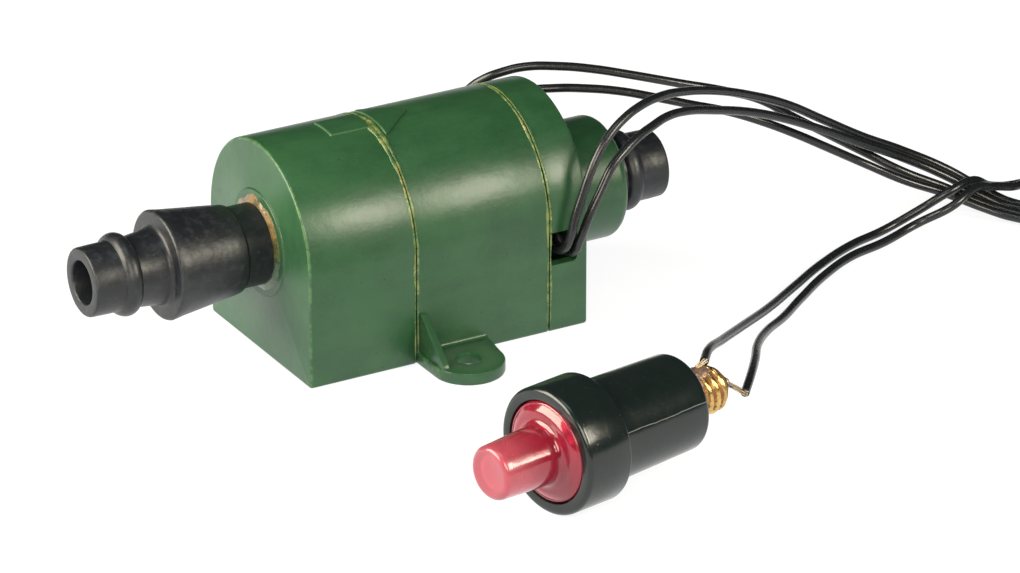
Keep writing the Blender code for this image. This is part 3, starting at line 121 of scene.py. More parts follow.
# Pilot lamp: U runs from its front face to its cap
LAMP_YAW = math.radians(11.9)
LAMP_U = Vector((math.cos(LAMP_YAW), math.sin(LAMP_YAW), 0.0))
BEZEL_RADIUS = span("lamp_holder", Z)[1] / 2
BEZEL_LENGTH = 10.5
HOLDER_LENGTH = 33.4
HOLDER_RADIUS = 10.15
HOLDER_END_RADIUS = 9.6
LENS_FLANGE_RADIUS = 9.9
LENS_FLANGE = 2.2
LENS_STEM_LENGTH = 14.0
LENS_STEM_RADIUS = 5.9
LENS_TIP_RADIUS = 5.35
LENS_WALL = 1.4
LENS_SKIRT = 5.8
CAP_PITCH = 1.81
CAP_CREST = 4.76
CAP_ROOT = 4.1
CAP_PLAIN = 2.0
CAP_RIDGES = 4
CAP_INSIDE = 3.6
BLOB_GRAIN = 0.9
CAP_END = HOLDER_LENGTH + CAP_PLAIN + CAP_RIDGES * CAP_PITCH
LAMP_ORIGIN = Vector((-17.7, -89.4, BEZEL_RADIUS))

# Leads
LEAD_DIAMETER = 1.8
COIL_REACH = 12.3
COIL_INNER = 7.45
LAMP_COIL = (158.0, -22.0)
SUPPLY_COIL = (138.0, -51.0)
LAMP_COIL_TURN = (216.87, 90.0 + 5 * 360.0)
SUPPLY_COIL_TURN = (36.87, 0.0 - 5 * 360.0)
COIL_STEPS = 16
LAYERS = {"a": (0.95, 2.9), "b": (4.85, 6.8)}

# The leads' routes: the points that a smooth curve runs through, the same as in the part's source
LAMP_OUT_A = [
    (24.0, -10.3, 22.2), (24.1, -14.0, 19.4), (24.4, -18.0, 17.2), (25.0, -21.7, 17.8), (25.7, -23.5, 21.2),
    (26.6, -23.7, 25.2), (28.1, -23.7, 29.2),
    (29.8, -23.6, 33.4), (32.0, -23.2, 37.3), (35.0, -22.4, 40.4), (39.1, -21.2, 42.7), (43.4, -19.8, 43.8),
    (49.2, -17.4, 43.7), (56.0, -14.4, 42.2), (66.3, -11.0, 39.0), (76.3, -8.4, 34.9), (86.0, -6.4, 30.1),
    (95.2, -5.0, 24.4), (105.6, -4.0, 18.0), (115.9, -3.4, 12.4), (124.9, -6.0, 7.4), (131.2, -10.8, 3.2),
    (134.9, -15.4, 1.3), (140.9, -22.3, 1.0), (148.2, -29.4, 1.0),
]
LAMP_OUT_B = [
    (24.6, -10.3, 24.6), (25.9, -13.6, 22.2), (26.6, -16.6, 18.6), (26.9, -19.4, 16.4), (27.3, -21.9, 16.8),
    (28.0, -23.3, 20.0), (29.6, -23.7, 24.4),
    (32.9, -23.2, 29.8), (35.5, -22.6, 33.5), (39.0, -21.6, 35.9), (43.2, -20.2, 37.7), (46.9, -18.8, 38.4),
    (51.1, -17.2, 38.9), (56.3, -15.4, 38.3), (65.3, -12.6, 35.6), (74.9, -10.4, 32.3), (84.4, -8.6, 28.1),
    (93.7, -7.4, 23.3), (104.1, -6.4, 17.6), (114.4, -5.8, 12.0), (123.3, -8.6, 7.0), (129.5, -13.2, 3.0),
    (133.4, -17.6, 1.4), (139.4, -24.6, 2.2), (148.2, -29.4, 4.9),
]
SUPPLY_OUT_A = [
    (24.0, 10.3, 22.2), (24.1, 14.0, 19.4), (24.4, 18.0, 17.2), (25.0, 21.7, 17.8), (25.4, 23.7, 21.4),
    (25.6, 23.9, 26.4), (26.0, 22.8, 31.6), (27.2, 20.2, 36.0), (29.4, 17.6, 38.8), (32.2, 15.7, 40.3),
    (36.4, 14.0, 41.2), (43.0, 11.5, 40.9),
    (49.7, 9.0, 39.8), (56.5, 6.5, 38.1), (66.6, 3.0, 35.3), (75.0, 1.0, 32.8), (83.0, -0.2, 29.6),
    (90.4, -0.8, 24.6), (98.2, -1.4, 19.4), (106.8, -3.0, 13.8), (113.4, -7.2, 9.8), (121.9, -10.8, 5.6),
    (128.0, -15.4, 2.6), (131.9, -19.9, 1.4), (139.6, -31.0, 1.0), (147.8, -43.6, 1.0),
]
SUPPLY_OUT_B = [
    (24.6, 10.3, 24.6), (25.9, 13.6, 22.2), (26.6, 16.6, 18.6), (26.9, 19.4, 16.4), (27.3, 21.9, 16.8),
    (28.2, 23.5, 20.0), (29.6, 23.4, 24.6), (31.6, 21.8, 29.4), (34.2, 19.2, 32.6), (38.2, 16.6, 34.6),
    (43.3, 14.0, 35.1), (49.1, 12.0, 34.6), (55.9, 9.5, 33.5),
    (62.6, 6.6, 31.8), (69.0, 3.0, 30.2), (75.6, 0.2, 28.4), (82.0, -2.0, 25.8), (89.4, -3.6, 22.0),
    (97.6, -4.8, 17.2), (105.4, -6.2, 12.6), (112.2, -9.8, 9.0), (120.3, -13.4, 5.6), (126.5, -17.8, 2.8),
    (130.5, -22.2, 1.6), (138.2, -33.2, 2.4), (147.8, -43.6, 4.9),
]
LAMP_BACK_A = [
    (158.0, -9.7, 2.9), (147.0, -10.4, 3.0), (137.4, -13.0, 3.8), (130.4, -14.4, 5.6), (124.9, -16.0, 8.6),
    (118.8, -17.2, 8.0), (112.4, -14.8, 4.0), (105.3, -14.0, 1.2), (95.4, -16.9, 1.1), (84.5, -22.8, 1.6),
    (73.0, -31.5, 3.0), (59.7, -43.2, 6.0), (46.0, -55.8, 10.4), (33.6, -67.9, 15.0), (25.6, -76.2, 18.2),
    (21.4, -81.6, 19.0),
]
LAMP_BACK_B = [
    (158.0, -9.7, 6.8), (147.0, -11.2, 6.0), (136.9, -15.6, 4.8), (129.6, -17.0, 6.6), (123.6, -19.2, 8.4),
    (116.8, -20.6, 6.2), (110.9, -17.4, 2.6), (102.0, -19.0, 1.1), (92.3, -21.7, 1.1), (83.4, -26.4, 1.1),
    (72.2, -35.0, 1.8), (62.9, -43.4, 3.2), (54.0, -51.6, 5.6), (45.9, -61.2, 8.4), (39.6, -70.5, 10.5),
    (33.6, -78.6, 11.6), (29.2, -83.9, 11.5),
]
SUPPLY_TAIL_A = [
    (150.3, -51.0, 2.9), (150.6, -57.0, 2.6), (151.6, -64.0, 1.4), (153.4, -71.0, 1.0), (156.0, -77.0, 1.0),
]
SUPPLY_TAIL_B = [
    (150.3, -51.0, 6.8), (150.1, -57.0, 6.2), (149.2, -64.0, 3.4), (148.2, -72.0, 1.2), (146.4, -80.0, 1.0),
]


# ---------------------------------------------------------------- finishes

class Amount:
    """A number that runs through a finish's nodes. Python's operators add the Math nodes."""

    def __init__(self, finish, socket):
        self.finish = finish
        self.socket = socket

    def __add__(self, other):
        return self.finish.maths("ADD", self, other)

    def __sub__(self, other):
        return self.finish.maths("SUBTRACT", self, other)

    def __rsub__(self, other):
        return self.finish.maths("SUBTRACT", other, self)

    def __mul__(self, other):
        return self.finish.maths("MULTIPLY", self, other)

    def __truediv__(self, other):
        return self.finish.maths("DIVIDE", self, other)

    def __pow__(self, other):
        return self.finish.maths("POWER", self, other)

    def __abs__(self):
        return self.finish.maths("ABSOLUTE", self)

    __radd__ = __add__
    __rmul__ = __mul__


class Finish:
    """A material built on one Principled shader. Constant keywords set its sockets by name."""

    def __init__(self, name, **constants):
        self.material = bpy.data.materials.new(name)
        self.material.use_nodes = True
        self.nodes = self.material.node_tree.nodes
        self.links = self.material.node_tree.links
        self.shader = self.nodes["Principled BSDF"]
        for socket, value in constants.items():
            self.shader.inputs[socket.replace("_", " ")].default_value = value
        coordinates = self.node("ShaderNodeTexCoord")
        grown = self.node("ShaderNodeVectorMath", {"operation": "SCALE"}, {0: coordinates.outputs["Object"]})
        grown.inputs["Scale"].default_value = 1.0 / MM
        self.point = grown.outputs[0]
        split = self.node("ShaderNodeSeparateXYZ", {}, {0: self.point})
        self.x, self.y, self.z = (Amount(self, socket) for socket in split.outputs)

    def node(self, kind, settings=None, inputs=None):
        """Any node: its settings are set first, then its sockets get values or links."""
        made = self.nodes.new(kind)
        for key, value in (settings or {}).items():
            setattr(made, key, value)
        for key, value in (inputs or {}).items():
            if isinstance(value, Amount):
                value = value.socket
            if isinstance(value, bpy.types.NodeSocket):
                self.links.new(value, made.inputs[key])
            else:
                made.inputs[key].default_value = value
        return made

    def maths(self, operation, *values):
        made = self.node("ShaderNodeMath", {"operation": operation}, dict(enumerate(values)))
        return Amount(self, made.outputs[0])

    def noise(self, scale, detail=3.0, roughness=0.55, point=None, distortion=0.0):
        """Cloudy noise from 0 to 1. The scale is in lumps per millimetre."""
        inputs = {
            "Vector": point or self.point, "Scale": scale, "Detail": detail,
            "Roughness": roughness, "Distortion": distortion,
        }
        return Amount(self, self.node("ShaderNodeTexNoise", {}, inputs).outputs["Fac"])

    def stretched(self, *factors):
        """The place, with each axis scaled by its own factor."""
        inputs = {0: self.point, 1: factors}
        return self.node("ShaderNodeVectorMath", {"operation": "MULTIPLY"}, inputs).outputs[0]

    def cells(self, scale):
        made = self.node("ShaderNodeTexVoronoi", {}, {"Vector": self.point, "Scale": scale})
        return Amount(self, made.outputs["Distance"])

    def step(self, amount, low, high):
        """Smoothly 0 below low and 1 above high. With low above high it falls instead."""
        inputs = {"Value": amount, "From Min": low, "From Max": high, "To Min": 0.0, "To Max": 1.0}
        made = self.node("ShaderNodeMapRange", {"interpolation_type": "SMOOTHSTEP", "clamp": True}, inputs)
        return Amount(self, made.outputs["Result"])

    def mixed(self, mask, low, high):
        """A colour between two colours, by a mask."""
        made = self.node("ShaderNodeMix", {"data_type": "RGBA"})
        self.links.new(mask.socket, made.inputs[0])
        for slot, colour in ((6, low), (7, high)):
            if isinstance(colour, bpy.types.NodeSocket):
                self.links.new(colour, made.inputs[slot])
            else:
                made.inputs[slot].default_value = (*colour, 1.0)
        return made.outputs[2]

    def near(self, amount, middle, reach):
        """1 where the amount equals middle, falling smoothly to 0 at reach away."""
        return self.step(abs(amount - middle), reach, 0.0)

    def radius_from(self, height):
        """The distance from the X line at that height."""
        rise = self.z - height
        return (self.y * self.y + rise * rise) ** 0.5

    def paint(self, colour, roughness, metallic=None, bumps=()):
        """Connects the varying inputs. Each bump is (height, strength, distance in millimetres)."""
        varying = {"Base Color": colour, "Roughness": roughness, "Metallic": metallic}
        for name, value in varying.items():
            if value is not None:
                socket = value.socket if isinstance(value, Amount) else value
                self.links.new(socket, self.shader.inputs[name])
        normal = None
        for height, strength, distance in bumps:
            inputs = {"Height": height, "Strength": strength, "Distance": distance * MM}
            if normal:
                inputs["Normal"] = normal
            normal = self.node("ShaderNodeBump", {}, inputs).outputs[0]
        if normal:
            self.links.new(normal, self.shader.inputs["Normal"])
        return self.material


def green_plastic():
    """Moulded green plastic: cloudy pigment, flow lines, pale edges worn by rubbing, a painted highlight
    along the raised arrow's edges, pinholes and a faint peel.
    """
    f = Finish("green_plastic", IOR=1.5)
    cloud = f.noise(0.07, 5.0, 0.62)
    flow = f.noise(1.0, 5.0, 0.65, f.stretched(0.06, 0.30, 0.22))
    grit = f.noise(1.9, 3.0, 0.6)
    pinholes = f.step(f.cells(0.30), 0.065, 0.03)
    arch_side = f.step(f.radius_from(AXIS_HEIGHT), HALF_WIDTH - 0.9, HALF_WIDTH - 0.2)
    arch_side = arch_side * f.step(f.z, AXIS_HEIGHT - 1.0, AXIS_HEIGHT)
    outside = f.maths("MAXIMUM", arch_side, f.step(abs(f.y), HALF_WIDTH - 0.9, HALF_WIDTH - 0.2))
    front_edge = f.near(f.x, FRONT_X, 0.9) * outside
    around_seams = f.near(f.x, SEAM_1, 1.2) + f.near(f.x, SEAM_2, 1.2)
    smear = f.step(f.noise(0.5, 5.0, 0.7), 0.40, 0.66)
    worn = around_seams * smear + front_edge * (0.35 + smear) + f.near(f.z, 0.0, 0.8) * smear
    wear_and_arrow_highlight = f.step(worn, 0.2, 0.9)
    # Painted highlight: a pale band along the raised arrow's sloping edges, standing in for the light they
    # catch; it joins the edge wear below
    arrow_edge_highlight = f.near(f.radius_from(AXIS_HEIGHT), HALF_WIDTH + ARROW_RISE * 0.5, ARROW_RISE * 0.4)
    wear_and_arrow_highlight = f.maths("MAXIMUM", wear_and_arrow_highlight, arrow_edge_highlight * f.step(f.z, AXIS_HEIGHT + 8.0, AXIS_HEIGHT + 12.0))
    shade = f.step(cloud * 0.55 + flow * 0.25 + grit * 0.2, 0.38, 0.62)
    colour = f.mixed(shade, (0.0150, 0.058, 0.0235), (0.0235, 0.082, 0.0325))
    # The pale mix lightens the worn edges and also paints the highlight on the arrow's edges
    colour = f.mixed(wear_and_arrow_highlight * 0.6, colour, (0.075, 0.165, 0.058))
    colour = f.mixed(pinholes, colour, (0.008, 0.020, 0.010))
    scuffs = f.step(f.noise(1.0, 4.0, 0.7, f.stretched(0.9, 0.16, 0.16)), 0.60, 0.72)
    gloss = 0.27 + flow * 0.09 + scuffs * 0.08 + grit * 0.05
    bumps = [(cloud, 0.30, 0.6), (grit, 0.14, 0.05), (scuffs, 0.10, 0.03), (pinholes, -0.5, 0.12)]
    return f.paint(colour, gloss, bumps=bumps)


def glue():
    """Set adhesive: clear amber over the green plastic, thicker and browner in its lumps."""
    f = Finish("glue", IOR=1.46, Transmission_Weight=0.25, Coat_Weight=0.3)
    tint = f.step(f.noise(0.55, 4.0, 0.6), 0.38, 0.64)
    colour = f.mixed(tint, (0.050, 0.125, 0.036), (0.205, 0.265, 0.085))
    specks = f.step(f.noise(0.33, 4.0, 0.7), 0.58, 0.68)
    colour = f.mixed(specks, colour, (0.42, 0.34, 0.13))
    return f.paint(colour, 0.22 + tint * 0.2, bumps=[(f.noise(1.3, 3.0), 0.5, 0.15)])


def neck_glue():
    """A darker amber adhesive ring where the adapter leaves the housing."""
    f = Finish("neck_glue", IOR=1.46, Transmission_Weight=0.15, Coat_Weight=0.4)
    tint = f.step(f.noise(0.4, 4.0, 0.6), 0.36, 0.62)
    browned = f.step(f.z, AXIS_HEIGHT - 4.0, AXIS_HEIGHT + 7.0)
    green = f.mixed(tint, (0.022, 0.062, 0.022), (0.045, 0.100, 0.032))
    brown = f.mixed(tint, (0.080, 0.060, 0.020), (0.21, 0.125, 0.035))
    colour = f.mixed(browned, green, brown)
    return f.paint(colour, 0.25 + tint * 0.15, bumps=[(f.noise(0.9, 3.0), 0.6, 0.3)])


def black_rubber():
    """Hard moulded rubber: drag marks along it, scuffs, pinholes and a bloom of grey dust."""
    f = Finish("black_rubber", IOR=1.5)
    drag = f.noise(1.0, 5.0, 0.7, f.stretched(0.20, 0.9, 0.9))
    grain = f.noise(2.1, 3.0, 0.65)
    dust = f.step(f.noise(0.5, 5.0, 0.7), 0.46, 0.72)
    pits = f.step(f.cells(0.55), 0.14, 0.06)
    nicks = f.step(f.noise(1.0, 4.0, 0.75, f.stretched(0.5, 1.6, 0.4)), 0.66, 0.72)
    colour = f.mixed(dust * 0.8 + grain * 0.2, (0.0060, 0.0075, 0.0100), (0.021, 0.023, 0.030))
    colour = f.mixed(nicks * 0.5, colour, (0.11, 0.11, 0.125))
    colour = f.mixed(pits * 0.7, colour, (0.002, 0.002, 0.003))
    gloss = 0.30 + drag * 0.16 + dust * 0.08 + nicks * 0.1
    bumps = [(drag, 0.35, 0.12), (grain, 0.30, 0.06), (pits, -0.4, 0.10), (nicks, 0.3, 0.05)]
    bumps.append((f.noise(0.25, 2.0), 0.3, 0.5))
    return f.paint(colour, gloss, bumps=bumps)


def black_moulding():
    """Glossy black thermoset, slightly green, with fine dust and hairline scratches."""
    f = Finish("black_moulding", IOR=1.52)
    cloud = f.noise(0.4, 5.0, 0.6)
    grain = f.noise(2.3, 3.0, 0.6)
    dust = f.step(f.noise(1.4, 3.0, 0.7), 0.66, 0.74)
    colour = f.mixed(cloud * 0.6 + grain * 0.4, (0.0028, 0.0062, 0.0058), (0.0105, 0.0160, 0.0160))
    colour = f.mixed(dust * 0.3, colour, (0.05, 0.06, 0.055))
    scratches = f.step(f.noise(1.0, 4.0, 0.7, f.stretched(0.25, 1.4, 1.4)), 0.62, 0.70)
    gloss = 0.15 + cloud * 0.07 + dust * 0.2 + scratches * 0.06
    bumps = [(cloud, 0.12, 0.3), (grain, 0.10, 0.03), (scratches, 0.08, 0.02)]
    return f.paint(colour, gloss, bumps=bumps)


def red_lens():
    """Translucent red moulding with swirls from the mould: a painted highlight makes it paler towards its
    tip, and it is deeper red back towards the flange.
    """
    f = Finish("red_lens", IOR=1.49, Transmission_Weight=0.62, Coat_Weight=0.5, Coat_Roughness=0.06)
    swirl = f.noise(0.30, 4.0, 0.6, None, 0.6)
    # Painted highlight: the colour turns paler towards the lens's tip, standing in for the light that falls
    # on it; the swirls mixed in with it are the moulding's own
    tip = f.step((f.x - LAMP_ORIGIN.x) * LAMP_U.x + (f.y - LAMP_ORIGIN.y) * LAMP_U.y, -3.0, -13.5)
    swirl_and_tip_highlight = f.step(swirl * 0.35 + tip * 0.65, 0.10, 0.80)
    colour = f.mixed(swirl_and_tip_highlight, (0.46, 0.020, 0.055), (0.66, 0.120, 0.175))
    specks = f.step(f.noise(1.6, 2.0, 0.5), 0.72, 0.77)
    colour = f.mixed(specks * 0.5, colour, (0.25, 0.02, 0.03))
    bumps = [(swirl, 0.08, 0.3), (f.noise(1.1, 2.0), 0.06, 0.05)]
    return f.paint(colour, 0.10 + swirl_and_tip_highlight * 0.16 + swirl * 0.04, bumps=bumps)


def lamp_glass():
    f = Finish("lamp_glass", IOR=1.5, Transmission_Weight=0.9)
    haze = f.noise(0.7, 3.0, 0.5)
    colour = f.mixed(haze, (0.86, 0.88, 0.86), (0.97, 0.97, 0.95))
    return f.paint(colour, 0.04 + haze * 0.06, bumps=[(haze, 0.08, 0.1)])


def tarnished_brass():
    """The lamp's screw cap: bright on its ridges, brown in the roots and near the solder."""
    f = Finish("tarnished_brass", IOR=1.5)
    along = (f.x - LAMP_ORIGIN.x) * LAMP_U.x + (f.y - LAMP_ORIGIN.y) * LAMP_U.y
    across = (f.y - LAMP_ORIGIN.y) * LAMP_U.x - (f.x - LAMP_ORIGIN.x) * LAMP_U.y
    rise = f.z - LAMP_ORIGIN.z
    reach = (across * across + rise * rise) ** 0.5
    crest = f.step(reach, CAP_ROOT + 0.1, CAP_CREST - 0.1)
    blotch = f.step(f.noise(0.5, 5.0, 0.65), 0.38, 0.62)
    heated = f.step(rise, 1.0, 4.2) * f.step(along, CAP_END + 1.0, HOLDER_LENGTH + 1.0)
    dull = f.step(1.2 - crest + heated * 0.8 + blotch * 0.55, 0.85, 1.55)
    colour = f.mixed(blotch, (0.78, 0.54, 0.19), (0.58, 0.34, 0.11))
    colour = f.mixed(dull, colour, (0.24, 0.115, 0.055))
    grime = f.step(f.noise(1.5, 4.0, 0.7), 0.58, 0.70)
    colour = f.mixed(grime * 0.7, colour, (0.09, 0.05, 0.03))
    bumps = [(f.noise(0.8, 4.0, 0.6), 0.3, 0.12), (f.noise(3.5, 2.0), 0.15, 0.03)]
    return f.paint(colour, 0.24 + dull * 0.32 + grime * 0.2, 1.0 - grime * 0.5 - dull * 0.3, bumps)


def solder():
    """Dull solder with brown flux burnt into its hollows."""
    f = Finish("solder", IOR=1.5)
    flux = f.step(f.noise(0.9, 5.0, 0.65), 0.40, 0.62)
    colour = f.mixed(flux, (0.50, 0.40, 0.33), (0.26, 0.125, 0.075))
    pits = f.step(f.noise(2.4, 3.0, 0.6), 0.60, 0.70)
    colour = f.mixed(pits, colour, (0.10, 0.055, 0.04))
    return f.paint(colour, 0.30 + flux * 0.25, 0.85 - flux * 0.55, [(f.noise(1.6, 4.0), 0.5, 0.15)])


def black_pvc():
    """Glossy insulation: a lengthwise draw, a little dust and small flats in the shine."""
    f = Finish("black_pvc", IOR=1.52, Coat_Roughness=0.12)
    draw = f.noise(0.9, 4.0, 0.6)
    dust = f.step(f.noise(2.2, 3.0, 0.6), 0.60, 0.72)
    colour = f.mixed(draw, (0.0040, 0.0048, 0.0060), (0.0110, 0.0125, 0.0150))
    colour = f.mixed(dust * 0.25, colour, (0.05, 0.055, 0.06))
    return f.paint(colour, 0.20 + draw * 0.12 + dust * 0.15, bumps=[(draw, 0.25, 0.08)])


def tinned_copper():
    f = Finish("tinned_copper", IOR=1.5, Metallic=1.0)
    tin = f.step(f.noise(1.2, 3.0, 0.6), 0.40, 0.62)
    colour = f.mixed(tin, (0.62, 0.40, 0.20), (0.70, 0.64, 0.52))
    return f.paint(colour, 0.25 + tin * 0.2, bumps=[(f.noise(3.0, 2.0), 0.3, 0.04)])


def metal(name, dark, light, gloss, grain, mark=(0.1, 0.09, 0.08)):
    """A bare metal with drawn grain and a few stains."""
    f = Finish(name, IOR=1.5, Metallic=1.0)
    lines = f.noise(1.0, 4.0, 0.6, f.stretched(*grain))
    stain = f.step(f.noise(0.5, 4.0, 0.6), 0.55, 0.72)
    colour = f.mixed(lines, dark, light)
    colour = f.mixed(stain * 0.4, colour, mark)
    return f.paint(colour, gloss + lines * 0.15 + stain * 0.15, bumps=[(lines, 0.2, 0.04)])


def matte(name, dark, light, gloss, lump, pitted=0.0):
    """A plain moulded, pressed or foamed material with its own grain size."""
    f = Finish(name, IOR=1.45)
    cloud = f.noise(lump * 0.4, 4.0, 0.6)
    grain = f.cells(lump) if pitted else f.noise(lump, 3.0, 0.6)
    colour = f.mixed(cloud * 0.6 + grain * 0.4, dark, light)
    return f.paint(colour, gloss + grain * 0.12, bumps=[(grain, 0.25 + pitted, 0.08 + pitted)])


def laminations():
    """Stacked sheet steel, one line for each sheet."""
    f = Finish("laminations", IOR=1.5, Metallic=1.0)
    sheet = 0.5
    line = f.maths("PINGPONG", f.x, sheet / 2) / (sheet / 2)
    gap = f.step(line, 0.2, 0.0)
    stain = f.noise(0.6, 4.0, 0.6)
    colour = f.mixed(stain, (0.30, 0.30, 0.31), (0.44, 0.43, 0.42))
    colour = f.mixed(gap, colour, (0.07, 0.07, 0.07))
    return f.paint(colour, 0.35 + stain * 0.2, bumps=[(gap, -0.4, 0.08)])


def pale_floor():
    """A lit white sweep: it glows a little, so the soft lights can stay low."""
    f = Finish("pale_floor", IOR=1.4, Specular_IOR_Level=0.0, Emission_Strength=0.86)
    mottle = f.noise(0.01, 3.0, 0.5)
    colour = f.mixed(mottle, (0.21, 0.21, 0.21), (0.23, 0.23, 0.23))
    f.links.new(f.mixed(mottle, (0.96, 0.97, 1.0), (0.98, 0.99, 1.0)), f.shader.inputs["Emission Color"])
    return f.paint(colour, 0.8 + mottle * 0.1)


# ---------------------------------------------------------------- meshes

def arc(centre, radius, start, end, steps):
    """Points on an arc, in degrees, ends included."""
    turns = [math.radians(start + (end - start) * i / steps) for i in range(steps + 1)]
    return [(centre[0] + radius * math.cos(t), centre[1] + radius * math.sin(t)) for t in turns]


def skin(loops, joined=False):
    """A surface through loops with as many points each. It is capped, or joined back on itself."""
    bm = bmesh.new()
    rings = [[bm.verts.new(point) for point in loop] for loop in loops]
    pairs = list(zip(rings, rings[1:]))
    if joined:
        pairs.append((rings[-1], rings[0]))
    count = len(rings[0])
    for first, second in pairs:
        for i in range(count):
            j = (i + 1) % count
            bm.faces.new((first[i], first[j], second[j], second[i]))
    if not joined:
        bm.faces.new(rings[0])
        bm.faces.new(rings[-1])
    bmesh.ops.recalc_face_normals(bm, faces=bm.faces)
    return bm


def ring_points(origin, direction, along, radius, sides, wobble=None):
    """A ring about an axis. wobble gives the radius's change from the turn, in radians."""
    direction = Vector(direction).normalized()
    side = direction.cross(Vector((0, 0, 1)))
    side = side.normalized() if side.length > 1e-6 else Vector((1, 0, 0))
    up = side.cross(direction)
    places = []
    for k in range(sides):
        turn = 2 * math.pi * k / sides
        reach = radius + (wobble(turn) if wobble else 0.0)
        offset = -up * math.cos(turn) + side * math.sin(turn)
        places.append(Vector(origin) + direction * along + offset * reach)
    return places


def turned(profile, origin, direction, sides=96, joined=True):
    """Turns a profile of (along, radius). An open profile gets its small first and last rings filled."""
    loops = [ring_points(origin, direction, along, radius, sides) for along, radius in profile]
    return skin(loops, joined=joined)


def rounded(profile, radius, steps):
    """The closed profile with its corners rounded. A radius of 0 leaves that corner sharp."""
    points = [Vector(p) for p in profile]
    count = len(points)
    made = []
    for i, corner in enumerate(points):
        size = radius[i] if isinstance(radius, (list, tuple)) else radius
        if size <= 0:
            made.append(tuple(corner))
            continue
        before, after = points[i - 1], points[(i + 1) % count]
        into, out = corner - before, after - corner
        size = min(size, into.length * 0.45, out.length * 0.45)
        start, end = corner - into.normalized() * size, corner + out.normalized() * size
        for k in range(steps + 1):
            t = k / steps
            made.append(tuple(start * (1 - t) ** 2 + corner * 2 * t * (1 - t) + end * t ** 2))
    return made


def piece(name, bm, finish, body=HOUSING, replaces=(), smooth_angle=32.0):
    """Makes the object in metres, gives it its finish and lets it ride on its body."""
    bm.transform(Matrix.Scale(MM, 4))
    mesh = bpy.data.meshes.new(name)
    bm.to_mesh(mesh)
    bm.free()
    mesh.materials.append(finish)
    mesh.shade_smooth()
    mesh.set_sharp_from_angle(angle=math.radians(smooth_angle))
    made = bpy.data.objects.new(name, mesh)
    bpy.context.scene.collection.objects.link(made)
    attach(made, body)
    if replaces:
        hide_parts(*replaces)
    return made


def carve(made, *cutters):
    """Takes shapes away from a piece for good."""
    scene = bpy.context.scene
    for bm in cutters:
        bm.transform(Matrix.Scale(MM, 4))
        mesh = bpy.data.meshes.new("cutter")
        bm.to_mesh(mesh)
        bm.free()
        cutter = bpy.data.objects.new("cutter", mesh)
        scene.collection.objects.link(cutter)
        step = made.modifiers.new("cut", "BOOLEAN")
        step.operation = "DIFFERENCE"
        step.solver = "EXACT"
        step.object = cutter
        graph = bpy.context.evaluated_depsgraph_get()
        carved = bpy.data.meshes.new_from_object(made.evaluated_get(graph))
        made.modifiers.remove(step)
        made.data = carved
        bpy.data.objects.remove(cutter, do_unlink=True)
    made.data.shade_smooth()
    made.data.set_sharp_from_angle(angle=math.radians(32.0))


def lumpy(bm, scale, size, seed):
    """Pushes each vertex along its normal by cloudy noise."""
    bm.normal_update()
    for vert in bm.verts:
        amount = noise.fractal(vert.co * scale + Vector((seed, seed, seed)), 1.0, 2.0, 3)
        vert.co += vert.normal * amount * size
    return bm


def blob(place, radii, size, seed):
    """A lump of solder: a fine ball squeezed to its radii, roughened and turned with the lamp."""
    bm = bmesh.new()
    bmesh.ops.create_icosphere(bm, subdivisions=4, radius=1.0)
    bm.transform(Matrix.Diagonal((*radii, 1.0)))
    lumpy(bm, BLOB_GRAIN, size, seed)
    bm.transform(Matrix.Rotation(LAMP_YAW, 4, "Z"))
    bm.transform(Matrix.Translation(place))
    return bm


def tube(points, radius_at, sides=10):
    """A round tube along points whose radius changes. Both ends close smoothly."""
    points = [Vector(p) for p in points]
    loops = []
    normal = Vector((0, 0, 1))
    last = len(points) - 1
    for i, place in enumerate(points):
        ahead = (points[min(i + 1, last)] - points[max(i - 1, 0)]).normalized()
        normal = (normal - ahead * normal.dot(ahead)).normalized()
        side = ahead.cross(normal)
        reach = radius_at(i / last)
        ring = []
        for k in range(sides):
            turn = 2 * math.pi * k / sides
            ring.append(place + (normal * math.cos(turn) + side * math.sin(turn)) * reach)
        loops.append(ring)
    return skin(loops)


def merged(shapes):
    """Several separate shapes in one mesh."""
    whole = bmesh.new()
    for bm in shapes:
        mesh = bpy.data.meshes.new("part_of_whole")
        bm.to_mesh(mesh)
        bm.free()
        whole.from_mesh(mesh)
        bpy.data.meshes.remove(mesh)
    return whole


# ---------------------------------------------------------------- housing

ARCH_STEPS = 96


def arch_outline(inset):
    """The housing's section as (y, z) points, drawn in by inset, from the near bottom corner round."""
    half = HALF_WIDTH - inset
    radius = max(BASE_EDGE_RADIUS - inset, 0.15)
    outline = arc((-half + radius, inset + radius), radius, 180.0, 270.0, 5)
    outline += [(-half + radius + (2 * half - 2 * radius) * k / 12, inset) for k in range(1, 12)]
    outline += arc((half - radius, inset + radius), radius, 270.0, 360.0, 5)
    outline += [(half, inset + radius + (AXIS_HEIGHT - inset - radius) * k / 6) for k in range(1, 6)]
    outline += arc((0.0, AXIS_HEIGHT), half, 0.0, 180.0, ARCH_STEPS)
    outline += [(-half, AXIS_HEIGHT - (AXIS_HEIGHT - inset - radius) * k / 6) for k in range(1, 6)]
    return outline


def arch_loop(x, inset):
    return [Vector((x, y, z)) for y, z in arch_outline(inset)]


def round_loop(x, radius, height=None):
    """A circle with one point for each point of the arch's outline, on the same ray from the arch's axis."""
    height = AXIS_HEIGHT if height is None else height
    loop = []
    for y, z in arch_outline(0.0):
        turn = math.atan2(z - AXIS_HEIGHT, y)
        loop.append(Vector((x, radius * math.cos(turn), height + radius * math.sin(turn))))
    return loop


def edge_loops(x, inward, radius, steps=4):
    """Arch loops that round an outer edge at x. inward is +1 if the body lies towards +X."""
    loops = []
    for k in range(steps + 1):
        turn = math.pi / 2 * k / steps
        loops.append(arch_loop(x + inward * radius * (1 - math.sin(turn)), radius * (1 - math.cos(turn))))
    return loops


